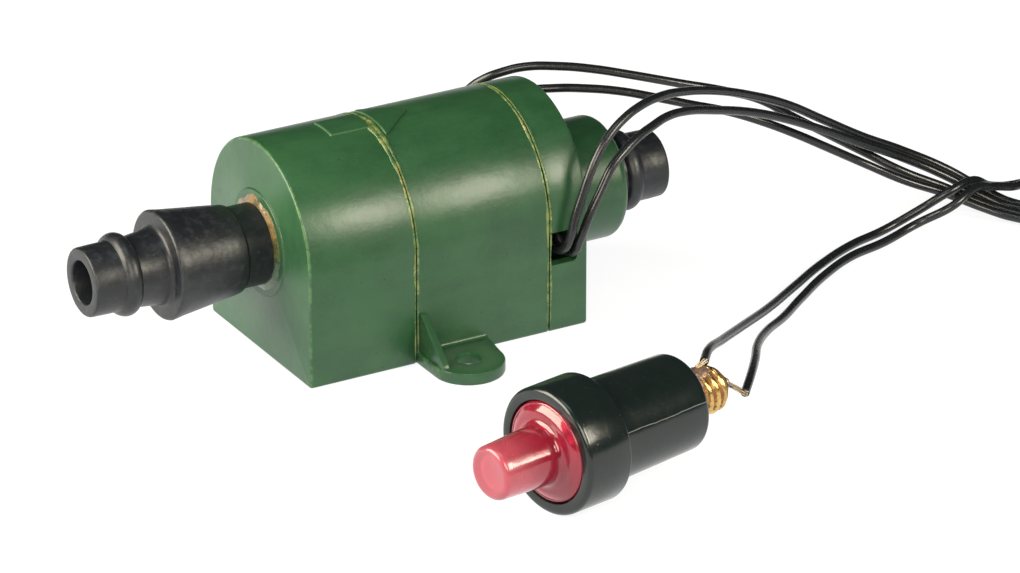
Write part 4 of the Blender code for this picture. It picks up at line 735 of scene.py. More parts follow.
def front_section(finish):
    """The front section: rounded edges, a raised ring round the inlet and the neck's hole."""
    face = FRONT_X
    loops = edge_loops(SEAM_1_LOW, -1, SEAM_RADIUS)[::-1]
    loops = [arch_loop(SEAM_1_LOW, WALL)] + loops
    loops += edge_loops(face, 1, EDGE_RADIUS)
    rim = 0.18
    loops += [round_loop(face, RING_RADIUS + rim), round_loop(face - rim * 0.4, RING_RADIUS + rim * 0.3)]
    loops.append(round_loop(face - RING_HEIGHT + rim, RING_RADIUS))
    loops.append(round_loop(face - RING_HEIGHT, RING_RADIUS - rim))
    loops.append(round_loop(face - RING_HEIGHT, NECK_HOLE_RADIUS + 0.2))
    loops.append(round_loop(face - RING_HEIGHT + 0.2, NECK_HOLE_RADIUS))
    inner_face = face + WALL + 0.3
    loops += [round_loop(inner_face, NECK_HOLE_RADIUS), arch_loop(inner_face, WALL)]
    piece("front_section", skin(loops, joined=True), finish,
          replaces=("front_housing",))


def arrow_slab(name, stations, finish):
    """A flat mark that follows the arch's top, standing a little proud, through (x, half width) stations."""
    loops = []
    edge = 0.16
    top = HALF_WIDTH + ARROW_RISE
    low = HALF_WIDTH - 0.5
    for x, half, drop in stations:
        section = [(-half - edge, low), (-half - edge * 0.5, top - edge * 2), (-half, top - edge * 0.4)]
        steps = 10
        section += [(-half + 0.1 + (2 * half - 0.2) * k / steps, top) for k in range(steps + 1)]
        section += [(half, top - edge * 0.4), (half + edge * 0.5, top - edge * 2), (half + edge, low)]
        loop = []
        for across, reach in section:
            turn = across / HALF_WIDTH
            height = reach - (drop if reach > low else 0.0)
            loop.append(Vector((x, height * math.sin(turn), AXIS_HEIGHT + height * math.cos(turn))))
        loops.append(loop)
    piece(name, skin(loops), finish, smooth_angle=28.0)


def flow_arrow(finish):
    low, high, half = ARROW_SHAFT
    ends = 0.2
    stations = [(low - ends, half, 0.5), (low, half, 0.12), (low + ends, half, 0.0)]
    stations += [(high - ends, half, 0.0), (high, half, 0.12)]
    arrow_slab("arrow_shaft", stations, finish)
    base, length, half = ARROW_HEAD
    stations = [(base - ends, half, 0.5), (base, half, 0.12), (base + ends, half * 0.97, 0.0)]
    steps = 10
    for k in range(1, steps + 1):
        share = k / steps
        width = half * (1 - share) + 0.25 * share
        stations.append((base + ends + (length - ends) * share, width, 0.0 if k < steps else 0.15))
    arrow_slab("arrow_head", stations, finish)


def motor_section(finish):
    loops = [arch_loop(SEAM_1_HIGH, WALL)]
    loops += edge_loops(SEAM_1_HIGH, 1, SEAM_RADIUS)[::-1]
    loops += edge_loops(SEAM_2_LOW, -1, SEAM_RADIUS)
    loops.append(arch_loop(SEAM_2_LOW, WALL))
    piece("motor_section", skin(loops, joined=True), finish,
          replaces=("motor_housing",))


def ear(name, side, finish):
    """A mounting ear: a flat tongue with a round end and a screw hole, all its edges softened."""
    inside = HALF_WIDTH - 0.4
    plan = arc((0.0, EAR_CENTRE), EAR_END_RADIUS, 180.0, 0.0, 40)
    root = [(EAR_END_RADIUS + (EAR_ROOT_REAR - EAR_END_RADIUS) * k / 6,
             EAR_CENTRE + (inside - EAR_CENTRE) * k / 6) for k in range(1, 7)]
    back = [(EAR_ROOT_REAR + (-EAR_END_RADIUS - EAR_ROOT_REAR) * k / 12, inside) for k in range(1, 13)]
    flank = [(-EAR_END_RADIUS, inside + (EAR_CENTRE - inside) * k / 6) for k in range(1, 6)]
    outline = [Vector(p) for p in plan + root + back + flank]
    middle = Vector((0.0, EAR_CENTRE))

    def drawn_in(inset, z):
        loop = []
        for p in outline:
            away = p - middle
            loop.append(middle + away * (1 - inset / max(away.length, 1.0)))
        return [Vector((q.x, side * q.y, z)) for q in loop]

    def hole(radius, z):
        loop = []
        for p in outline:
            away = (p - middle).normalized() * radius
            loop.append(Vector((middle.x + away.x, side * (middle.y + away.y), z)))
        return loop

    edge = 0.35
    loops = [drawn_in(edge, 0.0), drawn_in(edge * 0.3, edge * 0.3), drawn_in(0.0, edge)]
    top = EAR_THICKNESS
    loops += [drawn_in(0.0, top - edge), drawn_in(edge * 0.3, top - edge * 0.3), drawn_in(edge, top)]
    lip = EAR_HOLE_RADIUS
    loops += [hole(lip + 0.3, top), hole(lip + 0.08, top - 0.08), hole(lip, top - 0.3)]
    loops += [hole(lip, 0.3), hole(lip + 0.3, 0.0)]
    piece(name, skin(loops, joined=True), finish)


def ear_fillet(name, side, finish):
    """The small fillet where an ear's top meets the wall."""
    size = 0.7
    section = [(HALF_WIDTH - 0.2, EAR_THICKNESS - 0.2), (HALF_WIDTH + size, EAR_THICKNESS - 0.2)]
    section += arc((HALF_WIDTH + size, EAR_THICKNESS + size), size, 270.0, 180.0, 6)
    section += [(HALF_WIDTH - 0.2, EAR_THICKNESS + size)]
    low, high = -EAR_END_RADIUS + 1.0, EAR_ROOT_REAR - 0.5
    loops = [[Vector((x, side * y, z)) for y, z in section] for x in (low, high)]
    piece(name, skin(loops), finish)


def gusset(name, side, finish):
    """The thin web that props an ear against the wall, with a soft edge."""
    wall = HALF_WIDTH - 0.3
    foot = HALF_WIDTH + GUSSET_REACH
    outline = [(wall, 1.0), (foot, 1.0), (foot, EAR_THICKNESS + 0.35)]
    outline += [(HALF_WIDTH + 0.6, GUSSET_HEIGHT), (wall, GUSSET_HEIGHT)]
    outline = rounded(outline, [0, 0.3, 0.9, 0.8, 0], 5)
    centre = Vector((sum(p[0] for p in outline) / len(outline), sum(p[1] for p in outline) / len(outline)))
    low = -EAR_END_RADIUS + 0.4
    high = low + GUSSET_THICKNESS
    edge = 0.28
    loops = []
    for x, inset in ((low, edge), (low + edge * 0.3, edge * 0.3), (low + edge, 0.0),
                     (high - edge, 0.0), (high - edge * 0.3, edge * 0.3), (high, edge)):
        loop = []
        for p in outline:
            away = Vector(p) - centre
            q = centre + away * (1 - inset / max(away.length, 1.0))
            loop.append(Vector((x, side * q.x, q.y)))
        loops.append(loop)
    piece(name, skin(loops), finish)


def rounded_box(low, high, radius, steps=4):
    """A block with rounded edges along Y."""
    corners = []
    places = ((high[0], high[2]), (low[0], high[2]), (low[0], low[2]), (high[0], low[2]))
    for quarter, (cx, cz) in enumerate(places):
        start = quarter * 90.0
        sx = -1 if cx == high[0] else 1
        sz = -1 if cz == high[2] else 1
        corners += arc((cx + sx * radius, cz + sz * radius), radius, start, start + 90.0, steps)
    return skin([[Vector((x, y, z)) for x, z in corners] for y in (low[1], high[1])])


def rear_section(finish):
    """The rear section: its lead notches and the round boss that carries the outlet."""
    loops = [arch_loop(SEAM_2_HIGH, WALL)]
    loops += edge_loops(SEAM_2_HIGH, 1, SEAM_RADIUS)[::-1]
    loops += edge_loops(REAR_X, -1, EDGE_RADIUS)
    fillet = 0.9
    foot = BOSS_RADIUS + fillet
    loops.append(round_loop(REAR_X, foot, OUTLET_HEIGHT))
    for k in range(1, 5):
        turn = math.pi / 2 * k / 4
        reach = foot - fillet * math.sin(turn)
        loops.append(round_loop(REAR_X + fillet * (1 - math.cos(turn)), reach, OUTLET_HEIGHT))
    for k in range(7):
        turn = math.pi / 2 * k / 6
        reach = BOSS_RADIUS - BOSS_EDGE_RADIUS * (1 - math.cos(turn))
        loops.append(round_loop(BOSS_END - BOSS_EDGE_RADIUS * (1 - math.sin(turn)), reach, OUTLET_HEIGHT))
    loops += [round_loop(BOSS_END, BOSS_MOUTH_RADIUS + 0.2, OUTLET_HEIGHT)]
    loops += [round_loop(BOSS_END - 0.2, BOSS_MOUTH_RADIUS, OUTLET_HEIGHT)]
    inner = COLLAR_LARGE + TOUCH_GAP
    loops += [round_loop(BOSS_END - BOSS_LIP, BOSS_MOUTH_RADIUS, OUTLET_HEIGHT)]
    loops += [round_loop(BOSS_END - BOSS_LIP, inner, OUTLET_HEIGHT)]
    loops += [round_loop(REAR_X - WALL, inner, OUTLET_HEIGHT), arch_loop(REAR_X - WALL, WALL)]
    made = piece("rear_section", skin(loops, joined=True), finish,
                 replaces=("rear_cap",))
    cutters = []
    for side in (-1, 1):
        inner_y, outer_y = sorted((side * (HALF_WIDTH - WALL - 1.0), side * (HALF_WIDTH + 1.0)))
        low = (SEAM_2_HIGH - 2.0, inner_y, NOTCH_BOTTOM)
        high = (NOTCH_END, outer_y, NOTCH_BOTTOM + NOTCH_HEIGHT)
        cutters.append(rounded_box(low, high, 0.9))
    carve(made, *cutters)


def seam_glue(name, seam, finish, seed, lumps=(), bare=(0.0, 0.0)):
    """Two uneven beads of adhesive that squeezed out along a seam, one on each side of the gap."""
    shapes = []
    steps = 300
    straight = (AXIS_HEIGHT - 0.9) / HALF_WIDTH
    for side in (-1, 1):
        route, sizes = [], []
        for k in range(steps + 1):
            share = k / steps
            turn = -straight + (math.pi + 2 * straight) * share
            reach = HALF_WIDTH + 0.01
            y, z = reach * math.cos(turn), AXIS_HEIGHT + reach * math.sin(turn)
            if turn < 0:
                y, z = reach, AXIS_HEIGHT + reach * turn
            if turn > math.pi:
                y, z = -reach, AXIS_HEIGHT - reach * (turn - math.pi)
            wave = noise.fractal(Vector((k * 0.11, seed, side * 3.0)), 1.0, 2.0, 3)
            swell = noise.fractal(Vector((k * 0.035, seed + 9.0, side * 5.0)), 1.0, 2.0, 2)
            size = max(0.07, 0.19 + 0.12 * wave + 0.16 * swell)
            for at, extra in lumps:
                size += extra * math.exp(-((share - at) / 0.02) ** 2)
            if y < 0 and bare[0] < z < bare[1]:
                size = 0.05
            offset = 0.2 + size * 0.45 + 0.14 * abs(swell)
            route.append((seam + side * offset, y, z))
            sizes.append(size)
        fade = 0.03

        def radius_at(share, sizes=sizes):
            ends = min(1.0, share / fade, (1 - share) / fade)
            return max(0.03, sizes[round(share * steps)] * ends)

        bm = tube(route, radius_at, 10)
        for vert in bm.verts:
            if vert.co.z < AXIS_HEIGHT:
                proud = abs(vert.co.y) - HALF_WIDTH
                vert.co.y -= math.copysign(max(proud, 0.0) * 0.45, vert.co.y)
            else:
                out = Vector((0.0, vert.co.y, vert.co.z - AXIS_HEIGHT))
                proud = out.length - HALF_WIDTH
                vert.co -= out.normalized() * max(proud, 0.0) * 0.45
        shapes.append(bm)
    piece(name, merged(shapes), finish, smooth_angle=60.0)


def neck_glue_ring(finish):
    """The uneven ring of adhesive round the adapter's neck on the front face."""
    sides = 120
    face = FRONT_X - RING_HEIGHT

    def wave(seed, size):
        return lambda turn: size * noise.fractal(
            Vector((2.2 * math.cos(turn), 2.2 * math.sin(turn), seed)), 1.0, 2.0, 3)

    def ring(x, extra, wobble=None):
        return ring_points((x, 0, AXIS_HEIGHT), (-1, 0, 0), 0.0, NECK_RADIUS + extra, sides, wobble)

    loops = [
        ring(face + 0.35, -0.05),
        ring(face + 0.35, 1.3, wave(1.0, 0.6)),
        ring(face + 0.05, 1.35, wave(1.0, 0.6)),
        ring(face - 0.12, 1.0, wave(1.0, 0.5)),
        ring(face - 0.36, 0.45, wave(4.0, 0.3)),
        ring(face - 0.62, 0.02),
        ring(face - 0.62, -0.05),
    ]
    piece("neck_glue", skin(loops, joined=True), finish, smooth_angle=60.0)


# ---------------------------------------------------------------- hose adapters

def spigot_points(collar_end):
    """The hose end's profile from the collar's face to the bore, as (along, radius)."""
    crown = collar_end + BEAD_OFFSET
    tip = crown + SPIGOT_END
    rise = BEAD_RADIUS - SPIGOT_RADIUS
    root_fillet = arc((collar_end + 1.0, SPIGOT_ROOT + 1.0), 1.0, 180.0, 270.0, 5)
    bead = [(crown - BEAD_HALF_WIDTH * 1.35, SPIGOT_RADIUS + 0.02)]
    for k in range(13):
        share = -1 + 2 * k / 12
        bulge = (rise - 0.12) * (1 - share * share) ** 0.6
        bead.append((crown + BEAD_HALF_WIDTH * share, SPIGOT_RADIUS + 0.12 + bulge))
    bead.append((crown + BEAD_HALF_WIDTH * 1.3, SPIGOT_RADIUS))
    mouth = arc((tip - 0.5, SPIGOT_RADIUS - 0.6), 0.5, 90.0, 0.0, 4)
    inner = arc((tip - 0.35, BORE_RADIUS + 0.35), 0.35, 360.0, 270.0, 3)
    return root_fillet + bead + [(tip - 3.0, SPIGOT_RADIUS - 0.03)] + mouth + inner


def adapter(name, node, origin, direction, start, collar_start, collar_length, finish, flange=None):
    """A hose adapter: neck, tapered collar and beaded spigot, with the parting lines of its mould."""
    collar_end = collar_start + collar_length
    profile = [(start, BORE_RADIUS)]
    if flange:
        profile += [(start, flange[1]), (flange[0], flange[1]), (flange[0], NECK_RADIUS)]
    else:
        profile += [(start, NECK_RADIUS)]
    profile += arc((collar_start - 0.5, NECK_RADIUS + 0.5), 0.5, 270.0, 360.0, 3)
    profile += arc((collar_start + 0.5, COLLAR_SMALL - 0.5), 0.5, 180.0, 100.0, 4)
    steps = 6
    for k in range(1, steps):
        share = k / steps
        taper = COLLAR_SMALL + (COLLAR_LARGE - COLLAR_SMALL) * share
        profile.append((collar_start + collar_length * share, taper))
    profile += arc((collar_end - 0.7, COLLAR_LARGE - 0.7), 0.7, 84.0, 0.0, 5)
    profile += spigot_points(collar_end)
    sides = 112
    loops = [ring_points(origin, direction, along, radius, sides) for along, radius in profile]
    bm = skin(loops, joined=True)
    origin, axis = Vector(origin), Vector(direction).normalized()
    line_height = 0.09
    for vert in bm.verts:
        along = (vert.co - origin).dot(axis)
        away = vert.co - origin - axis * along
        if along < collar_start + 0.3 or away.length < BORE_RADIUS + 0.3:
            continue
        lift = 0.0
        for turn in (62.0, 242.0):
            ridge = Vector((0.0, -math.cos(math.radians(turn)), math.sin(math.radians(turn))))
            lift = max(lift, line_height * math.exp(-((away.normalized() - ridge).length / 0.028) ** 2))
        dent = 0.035 * noise.noise(vert.co * 0.35)
        vert.co += away.normalized() * (lift + dent)
    piece(name, bm, finish, replaces=(node,))


def hose_adapters(finish):
    inlet = (FRONT_X, 0.0, AXIS_HEIGHT)
    adapter("inlet_adapter", "front_adapter", inlet, (-1, 0, 0), -4.1, NECK_LENGTH, COLLAR_LENGTH, finish,
            flange=(-2.8, span("front_adapter", Z)[1] - AXIS_HEIGHT))
    outlet = (REAR_X, 0.0, OUTLET_HEIGHT)
    collar = BOSS_LENGTH - BOSS_LIP - TOUCH_GAP - REAR_COLLAR_LENGTH
    adapter("outlet_adapter", "rear_adapter", outlet, (1, 0, 0), collar - 0.6, collar,
            REAR_COLLAR_LENGTH, finish)


# ---------------------------------------------------------------- pilot lamp

def lamp_piece(name, bm, finish, replaces=(), body=HOUSING, smooth_angle=32.0):
    return piece(name, bm, finish, body, replaces, smooth_angle)


def lamp_turned(profile, sides=112, joined=True):
    return turned(profile, LAMP_ORIGIN, LAMP_U, sides, joined)


def lamp_place(along, across, rise):
    """A place in the lamp's own directions: along its axis, to its far side, and up from the axis."""
    far_side = Vector((-LAMP_U.y, LAMP_U.x, 0.0))
    return LAMP_ORIGIN + LAMP_U * along + far_side * across + Vector((0, 0, rise))


def lamp_holder(finish):
    """The holder's body and bezel in one moulding, with softened edges."""
    recess = LENS_FLANGE + 0.3
    mouth = LENS_FLANGE_RADIUS + 0.3
    guide = LENS_STEM_RADIUS + 0.3
    bore = CAP_CREST + 0.3
    step = 22.0
    front = arc((1.0, BEZEL_RADIUS - 1.0), 1.0, 180.0, 90.0, 6)
    back = arc((BEZEL_LENGTH - 0.45, BEZEL_RADIUS - 0.45), 0.45, 90.0, 0.0, 3)
    rear = arc((HOLDER_LENGTH - 1.2, HOLDER_END_RADIUS - 1.2), 1.2, 90.0, 0.0, 6)
    profile = [(recess, guide), (recess, mouth), (0.25, mouth), (0.06, mouth + 0.08), (0.0, mouth + 0.25)]
    profile += front + [(BEZEL_LENGTH * 0.55, BEZEL_RADIUS)] + back
    profile += [(BEZEL_LENGTH, HOLDER_RADIUS + 0.25), (BEZEL_LENGTH + 0.08, HOLDER_RADIUS + 0.06)]
    profile += [(BEZEL_LENGTH + 0.3, HOLDER_RADIUS)]
    profile += [(BEZEL_LENGTH + 0.3 + (HOLDER_LENGTH - BEZEL_LENGTH - 1.6) * k / 6,
                 HOLDER_RADIUS + (HOLDER_END_RADIUS - HOLDER_RADIUS) * k / 6) for k in range(1, 6)]
    profile += rear + [(HOLDER_LENGTH, bore + 0.3), (HOLDER_LENGTH - 0.3, bore), (step, bore), (step, guide)]
    lamp_piece("holder_moulding", lamp_turned(profile), finish, ("lamp_holder",))


def parting_lines(finish):
    """The pale raised line that the mould left along both sides of the holder's body."""
    shapes = []
    lift = 0.35

    def thickness(share):
        return 0.09 + 0.03 * noise.noise(Vector((share * 25.0, 2.0, 0.0)))

    for side in (-1, 1):
        route = []
        steps = 40
        low, high = BEZEL_LENGTH + 0.7, HOLDER_LENGTH - 0.8
        for k in range(steps + 1):
            share = k / steps
            reach = HOLDER_RADIUS + (HOLDER_END_RADIUS - HOLDER_RADIUS) * share - 0.03
            lean = lift + 0.008 * math.sin(9.0 * share) + 0.01 * noise.noise(Vector((k * 0.3, side, 0.0)))
            across, rise = side * reach * math.cos(lean), reach * math.sin(lean)
            route.append(lamp_place(low + (high - low) * share, across, rise))
        shapes.append(tube(route, thickness, 8))
    lamp_piece("parting_lines", merged(shapes), finish, smooth_angle=60.0)


def lens(finish):
    """The push-in lens: a stepped round stem, a domed flange and a skirt, hollow from behind."""
    tip = -LENS_STEM_LENGTH
    inner = LENS_STEM_RADIUS - LENS_WALL
    crown = arc((tip + 1.1, LENS_TIP_RADIUS - 1.1), 1.1, 180.0, 95.0, 7)
    profile = [(tip + 0.22, 0.05), (tip + 0.22, 3.2), (tip + 0.06, 3.7)] + crown
    stem = [(tip + 1.1 + (LENS_STEM_LENGTH - 3.4) * k / 8,
             LENS_TIP_RADIUS + (LENS_STEM_RADIUS - LENS_TIP_RADIUS) * k / 8) for k in range(1, 9)]
    fillet = arc((-2.2, LENS_STEM_RADIUS + 1.1), 1.1, 270.0, 340.0, 5)
    dome = []
    inner_flange, outer_flange = LENS_STEM_RADIUS + 1.25, LENS_FLANGE_RADIUS
    for k in range(9):
        share = k / 8
        reach = inner_flange + (outer_flange - 0.5 - inner_flange) * share
        dome.append((-0.95 + 0.95 * share * share, reach))
    rim = arc((0.5, LENS_FLANGE_RADIUS - 0.5), 0.5, 170.0, 90.0, 4)
    profile += stem + fillet + dome + rim
    profile += [(LENS_FLANGE, LENS_FLANGE_RADIUS), (LENS_FLANGE, LENS_STEM_RADIUS)]
    skirt = LENS_FLANGE + LENS_SKIRT
    profile += [(skirt - 0.3, LENS_STEM_RADIUS), (skirt, LENS_STEM_RADIUS - 0.3), (skirt, inner + 0.1)]
    profile += [(0.0, inner), (tip + 3.2, inner - 0.4), (tip + 1.9, inner - 0.9), (tip + 1.5, inner - 2.0)]
    profile += [(tip + 1.4, 0.05)]
    moulding = lamp_turned(profile, 96, joined=False)
    lamp_piece("lens_moulding", moulding, finish, ("lamp_lens",), "lens")


def bulb_envelope(glass, wire):
    """The bulb inside: its glass, two posts and a coiled filament."""
    base = HOLDER_LENGTH - CAP_INSIDE - 0.3
    tip = base - 15.4
    radius = 4.6
    profile = [(tip, 0.05)] + arc((tip + radius, 0.0), radius, 174.0, 90.0, 12)
    profile += [(base - 2.0, radius), (base - 0.6, radius - 0.5), (base, radius - 0.9), (base, 0.05)]
    lamp_piece("bulb_envelope", lamp_turned(profile, 64, joined=False), glass, ("bulb_glass",))
    posts = []
    for side in (-1, 1):
        route = [lamp_place(base - 0.5 - 8.0 * k / 12, side * (1.0 + 0.9 * (k / 12) ** 2), 0.0)
                 for k in range(13)]
        posts.append(tube(route, lambda share: 0.14, 8))
    coil = []
    for k in range(121):
        turn = 2 * math.pi * k / 12
        along = base - 8.5 + 0.22 * math.cos(turn)
        coil.append(lamp_place(along, -1.9 + 3.8 * k / 120, 0.22 * math.sin(turn)))
    posts.append(tube(coil, lambda share: 0.05, 6))
    lamp_piece("bulb_filament", merged(posts), wire, smooth_angle=60.0)


def screw_cap(finish):
    """The lamp's rolled brass cap: a true screw thread that fades out at both ends."""
    first = HOLDER_LENGTH - CAP_INSIDE
    last = CAP_END + 1.4
    sides = 72
    steps = 120
    loops = []
    for k in range(steps + 1):
        along = first + (last - first) * k / steps
        fade = min(1.0, max(0.0, (along - HOLDER_LENGTH - 0.6) / 1.6))
        fade *= min(1.0, max(0.0, (CAP_END + 0.1 - along) / 0.9))
        shrink = max(0.0, (along - CAP_END) / 1.4)
        ring = []
        for m in range(sides):
            turn = 2 * math.pi * m / sides
            wave = 0.5 + 0.5 * math.cos(2 * math.pi * ((along - HOLDER_LENGTH) / CAP_PITCH - m / sides))
            reach = CAP_ROOT + (CAP_CREST - CAP_ROOT) * fade * wave ** 0.8
            reach -= 1.9 * shrink ** 1.6
            reach += 0.05 * noise.noise(Vector((along * 0.8, math.cos(turn) * 2.0, math.sin(turn) * 2.0)))
            ring.append(lamp_place(along, reach * math.sin(turn), -reach * math.cos(turn)))
        loops.append(ring)
    lamp_piece("screw_cap", skin(loops), finish, ("bulb_cap",), smooth_angle=50.0)


def cap_end(insulator, contact):
    low = CAP_END + 1.7
    profile = [(low - 0.25, 0.05), (low - 0.25, 2.5), (low + 0.05, 2.45)]
    profile += [(low + 0.45, 2.0), (low + 0.6, 1.6), (low + 0.6, 0.05)]
    insert = lamp_turned(profile, 48, joined=False)
    lamp_piece("cap_insulator", insert, insulator, ("bulb_insulator",))
    lump = blob(lamp_place(low + 1.15, 0.0, 0.0), (0.72, 1.35, 1.25), 0.22, 3.0)
    lamp_piece("tip_solder", lump, contact, ("tip_contact",), smooth_angle=60.0)


def shell_solder(finish):
    """The lumps of solder and burnt flux that hold a lead on top of the cap, up against the holder."""
    shapes = []
    for along, across, rise, radii, seed in (
        (1.6, -0.2, 4.95, (1.5, 1.8, 1.0), 1.0), (3.3, -0.6, 4.55, (1.8, 2.1, 0.9), 5.0),
        (5.2, -0.2, 4.30, (1.7, 1.9, 0.9), 8.0), (6.9, 0.1, 4.10, (1.4, 1.5, 0.8), 11.0),
        (2.4, -2.6, 3.6, (1.5, 1.0, 1.0), 14.0), (2.2, 1.6, 4.2, (1.3, 1.2, 0.9), 17.0),
        (4.6, 1.9, 3.8, (1.4, 1.0, 0.8), 20.0),
    ):
        shapes.append(blob(lamp_place(HOLDER_LENGTH + along, across, rise), radii, 0.38, seed))
    lamp_piece("cap_solder", merged(shapes), finish, ("shell_solder",), smooth_angle=60.0)


# ---------------------------------------------------------------- leads

def coil_points(centre, turns, layers):
    """One lead's turns: inwards on its lower layer, up at the innermost, outwards on the upper."""
    start, end = turns
    count = round(abs(end - start) / 360.0 * COIL_STEPS)
    points = []
    rise_share = 0.5 * 360.0 / abs(end - start)
    for k in range(1, count):
        share = k / count
        turn = math.radians(start + (end - start) * share)
        reach = COIL_INNER + (COIL_REACH - COIL_INNER) * abs(2 * share - 1)
        rise = min(1.0, max(0.0, (share - 0.5) / rise_share + 0.5))
        rise = rise * rise * (3 - 2 * rise)
        z = layers[0] + (layers[1] - layers[0]) * rise
        points.append((centre[0] + reach * math.cos(turn), centre[1] + reach * math.sin(turn), z))
    return points


def lead_curve(name, points, finish, replaces):
    """A lead as one smooth curve through its points."""
    curve = bpy.data.curves.new(name, "CURVE")
    curve.dimensions = "3D"
    curve.bevel_depth = LEAD_DIAMETER / 2 * MM
    curve.bevel_resolution = 4
    curve.resolution_u = 8
    curve.use_fill_caps = True
    spline = curve.splines.new("BEZIER")
    spline.bezier_points.add(len(points) - 1)
    for slot, place in zip(spline.bezier_points, points):
        slot.co = Vector(place) * MM
        slot.handle_left_type = slot.handle_right_type = "AUTO"
    curve.materials.append(finish)
    made = bpy.data.objects.new(name, curve)
    bpy.context.scene.collection.objects.link(made)
    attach(made, HOUSING)
    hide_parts(*replaces)
    return made


def strands(name, start, aim, spread, finish, count=7, length=3.0):
    """Bared copper strands that fan out of a lead's cut end."""
    start, aim = Vector(start), Vector(aim)
    ahead = (aim - start).normalized()
    side = ahead.cross(Vector((0, 0, 1))).normalized()
    up = side.cross(ahead)
    shapes = []
    for k in range(count):
        turn = 2 * math.pi * k / (count - 1) if k else 0.0
        ring = 0.42 if k else 0.0
        out = side * math.cos(turn) + up * math.sin(turn)
        begin = start - ahead * 0.6 + out * ring
        wander = noise.noise(Vector((k * 1.7, 4.0, 2.0)))
        end = start + ahead * length * (1.0 + 0.12 * wander) + out * ring * spread
        middle = (begin + end) / 2 + out * 0.15 * wander
        route = []
        for m in range(9):
            t = m / 8
            route.append(begin * (1 - t) ** 2 + middle * 2 * t * (1 - t) + end * t * t)
        shapes.append(tube(route, lambda share: 0.17, 8))
    return piece(name, merged(shapes), finish, smooth_angle=60.0)


def tie(name, centre, turn, finish):
    """A narrow band that holds a coil's turns together."""
    centre = Vector((*centre, 0.0))
    out = Vector((math.cos(turn), math.sin(turn), 0.0))
    along = Vector((-math.sin(turn), math.cos(turn), 0.0))
    inner, outer, top = 6.2, 13.6, 8.2
    section = [(inner, 0.02), (outer, 0.02), (outer, top), (inner, top)]
    section = rounded(section, 0.8, 5)
    middle = Vector(((inner + outer) / 2, top / 2))
    loops = []
    thickness = 0.45
    for reach, offset in ((0.0, -1.3), (0.0, 1.3), (thickness, 1.3), (thickness, -1.3)):
        loop = []
        for a, b in section:
            p = Vector((a, b))
            q = p + (middle - p).normalized() * reach
            loop.append(centre + out * q.x + along * offset + Vector((0, 0, max(q.y, 0.02))))
        loops.append(loop)
    return piece(name, skin(loops, joined=True), finish)


def leads(insulation, copper):
    lamp_exit = (0.0250, -0.0210, 0.0176)
    supply_exit = (0.0250, 0.0210, 0.0176)
    lamp_tie = tie("lamp_coil_tie", LAMP_COIL, math.radians(25.0), insulation)
    supply_tie = tie("supply_coil_tie", SUPPLY_COIL, math.radians(200.0), insulation)
    shell_aim = lamp_place(HOLDER_LENGTH + 3.4, -0.1, 5.1)
    tip_aim = lamp_place(CAP_END + 2.8, -0.2, 0.2)
    shell_strands = strands("shell_strands", LAMP_BACK_A[-1], shell_aim, 0.6, copper, 6, 2.0)
    tip_strands = strands("tip_strands", LAMP_BACK_B[-1], tip_aim, 0.8, copper, 6, 3.9)
    tail_a_strands = strands("tail_a_strands", SUPPLY_TAIL_A[-1], (158.2, -82.0, 1.0), 0.9, copper, 7, 5.0)
    tail_b_strands = strands("tail_b_strands", SUPPLY_TAIL_B[-1], (145.2, -85.3, 1.0), 0.9, copper, 7, 5.0)
    plan = (
        ("lamp_lead_a", "a", LAMP_OUT_A, LAMP_COIL, LAMP_COIL_TURN, LAMP_BACK_A, lamp_exit, 0.635, "object",
         ("lamp_lead_a_out", "lamp_lead_a_back", "lamp_lead_coil"), (lamp_tie, shell_strands)),
        ("lamp_lead_b", "b", LAMP_OUT_B, LAMP_COIL, LAMP_COIL_TURN, LAMP_BACK_B, lamp_exit, 0.62, "object",
         ("lamp_lead_b_out", "lamp_lead_b_back"), (tip_strands,)),
        ("supply_lead_a", "a", SUPPLY_OUT_A, SUPPLY_COIL, SUPPLY_COIL_TURN, SUPPLY_TAIL_A,
         supply_exit, 0.53, "bare",
         ("supply_lead_a_out", "supply_lead_a_tail", "supply_lead_coil"), (supply_tie, tail_a_strands)),
        ("supply_lead_b", "b", SUPPLY_OUT_B, SUPPLY_COIL, SUPPLY_COIL_TURN, SUPPLY_TAIL_B,
         supply_exit, 0.52, "bare",
         ("supply_lead_b_out", "supply_lead_b_tail"), (tail_b_strands,)),
    )
    for name, letter, out, centre, turns, rest, leaves, length, far_end, nodes, extras in plan:
        points = out + coil_points(centre, turns, LAYERS[letter]) + rest
        made = lead_curve(name, points, insulation, nodes)


# ---------------------------------------------------------------- pieces that keep their CAD shape

